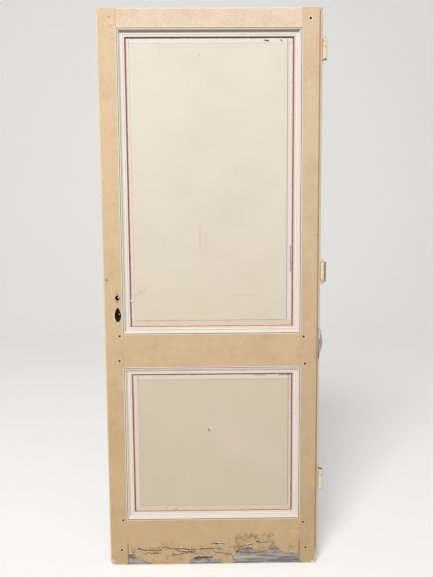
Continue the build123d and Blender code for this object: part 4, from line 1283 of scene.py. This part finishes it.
@dataclass
class PaintFilm:
    """Paint of the bottom rail near the foot: cracked, curled and flaked off.

    Sizes are in millimetres. The curl dies away over hole_reach and crack_reach from the
    bare patches and the cracks, and over side_fade at the rail's ends. probe is the step
    over which the outline's slope is measured.
    """

    paint: bpy.types.Material
    chip: bpy.types.Material
    across: Point = (70.5, 725.5)
    up: Point = (0.3, 150.0)
    cell: float = 1.2
    proud: float = 0.05
    curl: float = 1.5
    hole_reach: float = 5.5
    crack_reach: float = 3.0
    crack_half: float = 0.95
    side_fade: float = 6.0
    least_lift: float = 0.02
    sunk: float = 0.05
    chips_across: Point = (74.0, 720.0)
    chips_above: float = 5.0
    hole_chips: float = 0.2
    crack_chips: float = 0.7
    near_side: float = 0.1
    probe: float = 0.15

    def build(self) -> None:
        """Make the film over the rail and its loose chips, and let them move with the leaf."""
        film = new_piece("paint_film", self.mesh(), self.paint)
        chips = new_piece("paint_chips", self.chips(), self.chip)
        for piece in (film, chips):
            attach(piece, "leaf")

    def chips(self) -> bpy.types.Mesh:
        """Grow curled chips along the torn outlines and the cracks.

        Returns:
            The chips' mesh.
        """
        places, edges = [], []
        near, far = self.chips_across
        for paths, proud in ((HOLES, self.hole_chips), (CRACKS, self.crack_chips)):
            for path in paths:
                kept = [(x, z) for x, z in path if z > self.chips_above and near < x < far]
                first = len(places)
                edges += [(first + i, first + i + 1) for i in range(len(kept) - 1)]
                places += [at(x, FRONT - proud, z) for x, z in kept]
        start = bpy.data.meshes.new("chip_paths")
        start.from_pydata(places, edges, [])
        values = {"Spacing": 0.01, "Seed": 11, "Finish": self.chip}
        return grown_mesh("paint_chips", start, flake_tree(), **values)

    def gaps(self, places: np.ndarray) -> tuple[np.ndarray, np.ndarray]:
        """Measure how far places lie from the nearest bare patch and the nearest crack.

        Args:
            places: Places across and up, one to a row.

        Returns:
            The distances to the patches and to the cracks, negative inside them.
        """
        rag = 3.2 * ripple(places, 0.055, 1.5) + 2.4 * ripple(places, 0.2, 4.5)
        holes = np.min([from_path(places, path, True) for path in HOLES], axis=0) + rag
        bent = places + np.stack((0.0 * rag, 0.7 * rag), axis=1)
        cracks = np.min([from_path(bent, path, False) for path in CRACKS], axis=0)
        return holes, cracks - self.crack_half * (1.1 + 0.5 * ripple(places, 0.05, 8.5))

    def mesh(self) -> bpy.types.Mesh:
        """Lay the grid, leave out the bare cells and curl up what borders on them.

        Returns:
            The film's mesh.
        """
        xs = np.linspace(*self.across, round((self.across[1] - self.across[0]) / self.cell))
        zs = np.linspace(*self.up, round((self.up[1] - self.up[0]) / self.cell))
        wide = len(xs)
        places = np.array([(x, z) for z in zs for x in xs])
        corner = np.array([j * wide + i for j in range(len(zs) - 1) for i in range(wide - 1)])
        cells = np.stack((corner, corner + 1, corner + wide + 1, corner + wide), axis=1)
        open_cells = np.min(self.gaps(places[cells].mean(axis=1)), axis=0) > 0.0
        cells = cells[open_cells]
        for _ in range(2):
            places = self.snapped(places, cells, wide)
        holes, cracks = self.gaps(places)
        swell = 0.55 + 0.45 * ripple(places, 0.035, 6.5)
        lift = self.proud + self.curl * swell * np.exp(-np.clip(holes, 0, None) / self.hole_reach)
        lift += self.curl * swell * np.exp(-np.clip(cracks, 0, None) / self.crack_reach)
        border = np.min((places[:, 1], self.up[1] - places[:, 1]), axis=0)
        side = np.min((places[:, 0] - self.across[0], self.across[1] - places[:, 0]), axis=0)
        lift = self.proud + (lift - self.proud) * np.clip(side / self.side_fade, 0.0, 1.0)
        lift *= np.clip(0.2 + border / 2.0, 0.0, 1.0)
        lift = np.maximum(lift, self.least_lift)
        points = [at(x, FRONT - rise, z) for (x, z), rise in zip(places, lift)]
        mesh = bpy.data.meshes.new("paint_film")
        mesh.from_pydata(points, [], cells.tolist())
        torn = mesh.attributes.new("torn", "FLOAT", "POINT")
        torn.data.foreach_set("value", np.clip(np.minimum(holes, cracks), 0.0, 50.0))
        self.walled(mesh)
        return mesh

    def snapped(self, places: np.ndarray, cells: np.ndarray, wide: int) -> np.ndarray:
        """Move the places on torn borders onto the outline.

        Args:
            places: Places across and up, one to a row.
            cells: The four corners' numbers of each kept cell.
            wide: Number of places in a row of the grid.

        Returns:
            The places after the move.
        """
        used = np.bincount(cells.ravel(), minlength=len(places))
        torn = np.flatnonzero((used > 0) & (used < 4))
        inner = places[torn]
        low = np.array((self.across[0], self.up[0])) + self.near_side
        high = np.array((self.across[1], self.up[1])) - self.near_side
        free = np.all((inner > low) & (inner < high), axis=1)
        torn, inner = torn[free], inner[free]
        here = np.min(self.gaps(inner), axis=0)
        steps = ((self.probe, 0.0), (0.0, self.probe))
        slopes = [np.min(self.gaps(inner + step), axis=0) - here for step in steps]
        slope = np.stack(slopes, axis=1) / self.probe
        slope /= np.maximum(np.linalg.norm(slope, axis=1, keepdims=True), 0.3)
        move = np.clip(-here, -0.5 * self.cell, 0.5 * self.cell)[:, None] * slope
        moved = places.copy()
        moved[torn] += move
        return moved

    def walled(self, mesh: bpy.types.Mesh) -> None:
        """Close the film's borders back to the wood and shade its face smoothly.

        Args:
            mesh: The film's mesh, which it changes.
        """
        work = bmesh.new()
        work.from_mesh(mesh)
        loose = [v for v in work.verts if not v.link_faces]
        bmesh.ops.delete(work, geom=loose, context="VERTS")
        for face in work.faces:
            face.smooth = True
            if face.normal.y > 0.0:
                face.normal_flip()
        rim = [edge for edge in work.edges if edge.is_boundary]
        for edge in rim:
            edge.smooth = False
        grown = bmesh.ops.extrude_edge_only(work, edges=rim)["geom"]
        for item in grown:
            if isinstance(item, bmesh.types.BMVert):
                item.co.y = at(0.0, FRONT + self.sunk, 0.0).y
        bmesh.ops.recalc_face_normals(work, faces=work.faces)
        if sum(face.normal.y * face.calc_area() for face in work.faces) > 0.0:
            bmesh.ops.reverse_faces(work, faces=work.faces)
        work.to_mesh(mesh)
        work.free()


def grown_mesh(
    name: str, start: bpy.types.Mesh, tree: bpy.types.NodeTree, **values: object
) -> bpy.types.Mesh:
    """Run a geometry tree on a starting mesh and keep the result as a plain mesh.

    Args:
        name: The new mesh's name.
        start: Mesh that the tree works on.
        tree: The geometry tree.
        values: The tree's inputs by name, with spaces written as _.

    Returns:
        The new mesh.
    """
    seed = bpy.data.objects.new(name + "_start", start)
    bpy.context.scene.collection.objects.link(seed)
    grow = seed.modifiers.new("grow", "NODES")
    grow.node_group = tree
    for item in tree.interface.items_tree:
        key = item.name.replace(" ", "_")
        if item.in_out == "INPUT" and key in values:
            grow[item.identifier] = values[key]
    shown = seed.evaluated_get(bpy.context.evaluated_depsgraph_get())
    mesh = bpy.data.meshes.new_from_object(shown)
    mesh.name = name
    seed.modifiers.clear()
    bpy.data.objects.remove(seed)
    return mesh


class Grower:
    """A geometry tree under construction: named inputs, points in, one material out."""

    def __init__(self, name: str, **inputs: object) -> None:
        """Start the tree with its spots, its inputs and its finish.

        Args:
            name: The tree's name.
            inputs: Starting values by the input's name, with spaces written as _.
        """
        self.tree = bpy.data.node_groups.new(name, "GeometryNodeTree")
        self.wires = Wires(self.tree)
        face = self.tree.interface
        face.new_socket(name="Spots", in_out="INPUT", socket_type="NodeSocketGeometry")
        kinds = {float: "Float", int: "Int", tuple: "Vector"}
        for label, value in inputs.items():
            kind = "NodeSocket" + kinds[type(value)]
            made = face.new_socket(name=label.replace("_", " "), in_out="INPUT", socket_type=kind)
            made.default_value = value
        face.new_socket(name="Finish", in_out="INPUT", socket_type="NodeSocketMaterial")
        face.new_socket(name="Pieces", in_out="OUTPUT", socket_type="NodeSocketGeometry")
        entry = self.wires.node("NodeGroupInput")
        self.inputs = {s.name: s for s in entry.outputs if s.name}

    def place(self, kind: str, settings: dict | None = None, **inputs: object) -> Socket:
        """Place a node, fill its inputs and give its first result.

        Args:
            kind: The node's type name.
            settings: Properties to set on it.
            inputs: Values by the input's name, with spaces written as _.

        Returns:
            The node's first output.
        """
        sockets = {name.replace("_", " "): value for name, value in inputs.items()}
        return self.wires.call(kind, sockets, **(settings or {}))

    def chance(self, low: Value, high: Value, salt: float) -> Socket:
        """Give a seeded random number for each point.

        Args:
            low: The least number.
            high: The greatest number.
            salt: What sets it apart from the tree's other random numbers.

        Returns:
            The number.
        """
        made = self.wires.node("FunctionNodeRandomValue", data_type="FLOAT")
        sockets = {s.name: s for s in made.inputs if s.enabled}
        seed = self.wires.plus(self.inputs["Seed"], salt)
        for name, value in (("Min", low), ("Max", high), ("Seed", seed)):
            self.wires.put(value, sockets[name])
        return next(s for s in made.outputs if s.enabled)

    def finish(self, pieces: Socket) -> bpy.types.NodeTree:
        """Realize the pieces, give them their finish and close the tree.

        Args:
            pieces: The pieces' geometry.

        Returns:
            The finished tree.
        """
        real = self.place("GeometryNodeRealizeInstances", Geometry=pieces)
        finish = self.inputs["Finish"]
        made = self.place("GeometryNodeSetMaterial", Geometry=real, Material=finish)
        self.wires.put(made, self.wires.node("NodeGroupOutput").inputs[0])
        return self.tree


def screw_tree() -> bpy.types.NodeTree:
    """Make the tree that sets a countersunk screw with a slot on every spot.

    Returns:
        A geometry tree with the screw's sizes, its axis and a seed as inputs.
    """
    grower = Grower(
        "slotted_screws", Head=0.0042, Shank=0.002, Plate=0.0025, Length=0.027,
        Axis=(0.0, 0.0, 0.0), Seed=3,
    )
    wires, entry, place = grower.wires, grower.inputs, grower.place
    radius, shank, plate = entry["Head"], entry["Shank"], entry["Plate"]
    head = place(
        "GeometryNodeMeshCone", Vertices=40, Side_Segments=2, Radius_Top=shank,
        Radius_Bottom=radius, Depth=plate,
    )
    size = place(
        "ShaderNodeCombineXYZ", X=wires.times(radius, 3.0), Y=wires.times(radius, 0.24),
        Z=wires.times(plate, 0.9),
    )
    slot = place("GeometryNodeMeshCube", Size=size)
    cut = place("GeometryNodeMeshBoolean", {"operation": "DIFFERENCE"}, Mesh_1=head, Mesh_2=slot)
    stem = place(
        "GeometryNodeMeshCone", Vertices=24, Radius_Bottom=shank,
        Depth=wires.minus(entry["Length"], plate), Radius_Top=wires.times(shank, 0.4),
    )
    down = place("ShaderNodeCombineXYZ", Z=plate)
    moved = place("GeometryNodeTransform", Geometry=stem, Translation=down)
    both = wires.node("GeometryNodeJoinGeometry")
    for part in (moved, cut):
        wires.put(part, both.inputs[0])
    on_spots = place(
        "GeometryNodeInstanceOnPoints", Points=entry["Spots"], Instance=both.outputs[0],
        Rotation=entry["Axis"],
    )
    turn = place("ShaderNodeCombineXYZ", Z=grower.chance(0.0, pi, 1.0))
    return grower.finish(
        place("GeometryNodeRotateInstances", Instances=on_spots, Rotation=turn, Local_Space=True)
    )


def flake_tree() -> bpy.types.NodeTree:
    """Make the tree that sets curled chips of paint along torn outlines.

    Returns:
        A geometry tree with the chips' spacing, size and seed as inputs.
    """
    grower = Grower("curled_chips", Spacing=0.009, Size=0.006, Thick=0.0003, Seed=11)
    wires, entry, place = grower.wires, grower.inputs, grower.place
    path = place("GeometryNodeMeshToCurve", Mesh=entry["Spots"])
    spacing = entry["Spacing"]
    points = place("GeometryNodeCurveToPoints", {"mode": "LENGTH"}, Curve=path, Length=spacing)
    height = wires.times(entry["Size"], 0.6)
    size = place("ShaderNodeCombineXYZ", X=entry["Size"], Y=entry["Thick"], Z=height)
    chip = place("GeometryNodeMeshCube", Size=size, Vertices_X=6, Vertices_Y=2, Vertices_Z=5)
    spot = wires.node("ShaderNodeSeparateXYZ")
    wires.put(place("GeometryNodeInputPosition"), spot.inputs[0])
    across, _, up = spot.outputs
    bow = wires.math("DIVIDE", wires.times(across, across, -0.6), entry["Size"])
    bent = place("ShaderNodeCombineXYZ", Y=wires.plus(bow, wires.times(up, -0.05)))
    curled = place("GeometryNodeSetPosition", Geometry=chip, Offset=bent)
    turn = place(
        "ShaderNodeCombineXYZ", X=grower.chance(-0.1, 0.1, 1.0), Y=grower.chance(-2.6, 2.6, 2.0),
        Z=grower.chance(-0.12, 0.12, 3.0),
    )
    return grower.finish(
        place(
            "GeometryNodeInstanceOnPoints", Points=points, Instance=curled, Rotation=turn,
            Scale=grower.chance(0.35, 1.1, 4.0),
        )
    )


# Rings of a turned ball: their number, and the first one's angle and the step in degrees
BALL_RINGS = 15
BALL_START = -62.0
BALL_STEP = 10.5


def turned_tip(profile: Iterable[Point], axis: Vector, sides: int = 40) -> bpy.types.Mesh:
    """Turn a profile round an upright axis.

    Args:
        profile: Radius and height of each ring, in millimetres, from the foot up.
        axis: Place of the height's zero, in the shared frame.
        sides: Number of sides.

    Returns:
        A closed mesh.
    """
    work = bmesh.new()
    loops = []
    for radius, height in profile:
        turn = [2.0 * pi * i / sides for i in range(sides)]
        ring = [Vector((radius * cos(a), radius * sin(a), height)) / METRE + axis for a in turn]
        loops.append([work.verts.new(place) for place in ring])
    for low, high in zip(loops, loops[1:]):
        for i in range(sides):
            j = (i + 1) % sides
            work.faces.new((low[i], low[j], high[j], high[i])).smooth = True
    work.faces.new(list(reversed(loops[0])))
    work.faces.new(loops[-1])
    mesh = bpy.data.meshes.new("turned_tip")
    work.to_mesh(mesh)
    work.free()
    return mesh


def stand_in(piece: bpy.types.Object, node: str) -> None:
    """Let a piece of the leaf stand for a CAD node.

    Args:
        piece: The piece.
        node: The CAD node's name.
    """
    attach(piece, "leaf")
    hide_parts(node)


def slotted_screws(
    node: str, slot: str, spots: list[Vector], finish: bpy.types.Material, **values: object
) -> None:
    """Set slotted screws in the place of a CAD node.

    Args:
        node: The CAD node's name.
        slot: Not used.
        spots: Where the heads lie.
        finish: Their material.
        values: The screw tree's inputs.
    """
    name = node.rstrip("s") + "_heads"
    points = bpy.data.meshes.new(name + "_spots")
    points.from_pydata(spots, [], [])
    mesh = grown_mesh(name, points, screw_tree(), Finish=finish, **values)
    stand_in(new_piece(name, mesh, finish), node)


@dataclass
class Lock:
    """The mortise lock inside the lock stile."""

    groups: Groups
    forend_x: float = 0.0
    forend_z: Point = (941.5, 1067.5)
    screw_axis: tuple[float, float, float] = (0.0, pi / 2.0, 0.0)

    def build(self) -> None:
        """Dress every piece of the lock."""
        dark = PlainFinish(
            "lock_steel", srgb(46, 39, 34), srgb(24, 20, 18), 0.1, 0.6, 0.85, strokes=600.0,
            sheen=0.1,
        )
        brass = PlainFinish("worn_brass", srgb(182, 150, 92), srgb(112, 84, 50), 0.9)
        spring = PlainFinish("spring_steel", srgb(120, 118, 116), srgb(70, 62, 54), 0.9)
        steel = dark.make(self.groups)
        dressed = (
            (steel, ("lock_case", "lock_cap", "cap_screws", "lock_forend", "follower")),
            (brass.make(self.groups), ("latch_bolt", "dead_bolt")),
            (spring.make(self.groups), ("latch_spring", "bolt_spring")),
        )
        for material, nodes in dressed:
            for node in nodes:
                dress(node, material)
        spots = [at(self.forend_x, 0.0, z) for z in self.forend_z]
        values = {"Axis": self.screw_axis, "Seed": 5}
        slotted_screws("forend_screws", "lock_steel", spots, steel, **values)


PAINTED_HINGE_NODES = (
    "top_hinge_leaf", "middle_hinge_leaf", "middle_hinge_pin", "middle_hinge_finial",
    "bottom_hinge_leaf",
)


@dataclass
class Hinges:
    """The two lift-off hinges and the middle hinge with both its leaves.

    Sizes are in millimetres, but for plate, the screws' countersunk depth in metres.
    """

    groups: Groups
    barrels: tuple[Point, ...] = ((1877.0, 1950.0), (1089.0, 1162.0), (301.0, 380.0))
    screw_x: float = 801.8
    screw_axis: tuple[float, float, float] = (0.0, -pi / 2.0, 0.0)
    plate: float = 0.0022
    neck: float = 3.0
    inset: float = 12.0
    stub: float = 2.98
    stub_depth: float = 13.0
    knuckle: float = 14.6

    def build(self) -> None:
        """Dress every piece of the hinges."""
        painted = PlainFinish(
            "hinge_paint", srgb(236, 222, 198), srgb(178, 148, 112), 0.0, 0.38, 0.6,
            strokes=700.0, blotches=90.0, wear=(0.5, 0.72), zones=self.gaps(),
        ).make(self.groups)
        pale = Zone((795.0, 812.8), (1080.0, 1170.0), (-34.0, -17.8), srgb(234, 220, 196), 0.9, 0.8)
        bare = PlainFinish(
            "hinge_steel", srgb(196, 172, 140), srgb(96, 72, 50), 0.0, 0.4, 0.7,
            strokes=500.0, blotches=150.0, wear=(0.35, 0.55), zones=(pale,),
        )
        for node in PAINTED_HINGE_NODES:
            dress(node, painted)
        dress("middle_hinge_frame_leaf", bare.make(self.groups))
        self.tip("top_hinge_finial", self.barrels[0][1], 4.2, painted)
        self.tip("bottom_hinge_finial", self.barrels[2][1], 4.8, painted)
        spots = [self.screw_spot(low, high, i) for low, high in self.barrels for i in range(3)]
        values = {"Axis": self.screw_axis, "Plate": self.plate, "Seed": 8}
        slotted_screws("hinge_screws", "painted_hinge", spots, painted, **values)

    def screw_spot(self, low: float, high: float, index: int) -> Vector:
        """Give the place of one screw of a leaf."""
        level = (low + self.inset, (low + high) / 2.0, high - self.inset)[index]
        return at(self.screw_x, 2.5 if index == 1 else -9.0, level)

    def tip(self, node: str, base: float, ball: float, material: bpy.types.Material) -> None:
        """Turn a hinge's ball tip on its stub.

        Args:
            node: The finial that it stands for.
            base: Height of the barrel's top.
            ball: The ball's radius.
            material: Its finish.
        """
        centre = self.neck / 2.0 + ball
        profile = [(self.stub, -self.stub_depth), (self.stub, 0.0), (self.neck, 0.0)]
        for i in range(BALL_RINGS):
            turn = radians(BALL_START + BALL_STEP * i)
            profile.append((max(ball * cos(turn), 0.25), centre + ball * sin(turn)))
        mesh = turned_tip(profile, at(ORIGIN_X, ORIGIN_Y, base))
        stand_in(new_piece(node + "_turned", mesh, material), node)

    def gaps(self) -> tuple[Zone, ...]:
        """Give the painted shade at the foot of each tip and of each barrel, and the dark joints
        between the knuckles.

        Returns:
            The zones.
        """
        joints = [self.barrels[1][0] + i * self.knuckle for i in range(1, 5)]
        # Painted shade under each ball tip and at each barrel's foot; the faint lines between
        # knuckles are dark joints
        rows = [(high - 0.6, high + 1.5, -10.0, DARK, 0.9, 0.5) for _, high in self.barrels]
        rows += [(low - 0.6, low + 0.8, -10.0, BROWN, 0.8, 0.5) for low, _ in self.barrels]
        rows += [(z - 0.6, z + 0.6, -18.0, BROWN, 0.4, 0.4) for z in joints]
        return tuple(
            Zone((790.0, 830.0), (low, high), (-40.0, back), colour, share, soft)
            for low, high, back, colour, share, soft in rows
        )


@dataclass(frozen=True)
class Lamp:
    """A soft square lamp: its place, what it faces, its side in metres and its watts."""

    name: str
    place: tuple[float, float, float]
    target: tuple[float, float, float]
    size: float
    power: float
    glossy: bool = True

    def hang(self) -> None:
        """Put the lamp into the scene."""
        data = bpy.data.lights.new(self.name, "AREA")
        data.size, data.energy = self.size, self.power
        lamp = bpy.data.objects.new(self.name, data)
        lamp.location = self.place
        ahead = Vector(self.target) - Vector(self.place)
        lamp.rotation_euler = ahead.to_track_quat("-Z", "Y").to_euler()
        lamp.visible_glossy = self.glossy
        bpy.context.scene.collection.objects.link(lamp)


KEY_LAMP = Lamp("key_lamp", (-2.4, -4.6, 5.6), (-0.4, 0.0, 0.9), 2.4, 352.0, glossy=False)
FILL_LAMP = Lamp("fill_lamp", (3.5, -6.0, 1.5), (-0.4, 0.0, 0.7), 4.0, 40.0)


@dataclass
class Studio:
    """Floor, backdrop, lamps, world light and camera."""

    floor_z: float = -0.301
    eye: Vector = field(default_factory=lambda: Vector((-0.4009, -1.5871, 0.8883)))
    look: Vector = field(default_factory=lambda: Vector((0.00730, 0.99707, -0.07612)))
    roll: float = -0.43
    lens: float = 27.05
    ambient: float = 0.27
    half_width: float = 9.0
    front: float = -9.0
    back: float = 4.5
    curve: float = 2.0
    height: float = 9.0
    steps: int = 16
    glow: float = 0.24

    def build(self) -> None:
        """Make the whole studio."""
        bpy.context.scene.view_settings.view_transform = "Standard"
        self.sweep()
        for lamp in (KEY_LAMP, FILL_LAMP):
            lamp.hang()
        self.world()
        self.camera()

    def camera(self) -> None:
        """Set the camera where the photograph was taken from."""
        data = bpy.data.cameras.new("camera")
        data.lens, data.sensor_width = self.lens, 36.0
        camera = bpy.data.objects.new("camera", data)
        roll = Quaternion((0.0, 0.0, 1.0), radians(self.roll))
        turn = self.look.to_track_quat("-Z", "Y") @ roll
        camera.location = self.eye
        camera.rotation_mode = "QUATERNION"
        camera.rotation_quaternion = turn
        bpy.context.scene.collection.objects.link(camera)
        bpy.context.scene.camera = camera

    def world(self) -> None:
        """Light everything softly and evenly, and look white to the camera."""
        world = bpy.data.worlds.new("soft_light")
        world.use_nodes = True
        bpy.context.scene.world = world
        background = world.node_tree.nodes["Background"]
        background.inputs["Color"].default_value = (1.0, 1.0, 1.0, 1.0)
        wires = Wires(world.node_tree)
        path = wires.node("ShaderNodeLightPath").outputs
        seen = wires.math("MAXIMUM", path["Is Camera Ray"], path["Is Glossy Ray"])
        seen = wires.math("MAXIMUM", seen, path["Is Transmission Ray"])
        wires.put(wires.span(seen, self.ambient, 1.0), background.inputs["Strength"])

    def sweep(self) -> None:
        """Make the pale floor that curves up into the backdrop."""
        profile = [(self.front, self.floor_z)]
        for i in range(self.steps + 1):
            turn = radians(90.0 * i / self.steps)
            ahead = self.back + self.curve * sin(turn)
            profile.append((ahead, self.floor_z + self.curve * (1.0 - cos(turn))))
        profile.append((self.back + self.curve, self.height))
        points = [(x, y, z) for y, z in profile for x in (-self.half_width, self.half_width)]
        faces = [(i, i + 1, i + 3, i + 2) for i in range(0, len(points) - 2, 2)]
        mesh = bpy.data.meshes.new("sweep")
        mesh.from_pydata(points, [], faces)
        for face in mesh.polygons:
            face.use_smooth = True
        sweep = bpy.data.objects.new("sweep", mesh)
        bpy.context.scene.collection.objects.link(sweep)
        material = bpy.data.materials.new("pale_floor")
        material.use_nodes = True
        wires = Wires(material.node_tree)
        shader = material.node_tree.nodes["Principled BSDF"].inputs
        seen = wires.node("ShaderNodeLightPath").outputs["Is Camera Ray"]
        wires.put(srgb(244, 243, 240), shader["Base Color"])
        wires.put(0.8, shader["Roughness"])
        wires.put((1.0, 1.0, 1.0), shader["Emission Color"])
        wires.put(wires.times(seen, self.glow), shader["Emission Strength"])
        mesh.materials.append(material)


def main() -> None:
    """Build and dress the whole leaf, then set up the studio."""
    logging.basicConfig(level=logging.INFO, format="%(message)s")
    groups = Groups()
    for part in (Woodwork(groups), Lock(groups), Hinges(groups), Studio()):
        part.build()
        LOG.info("built %s", type(part).__name__)


if __name__ == "__main__":
    main()
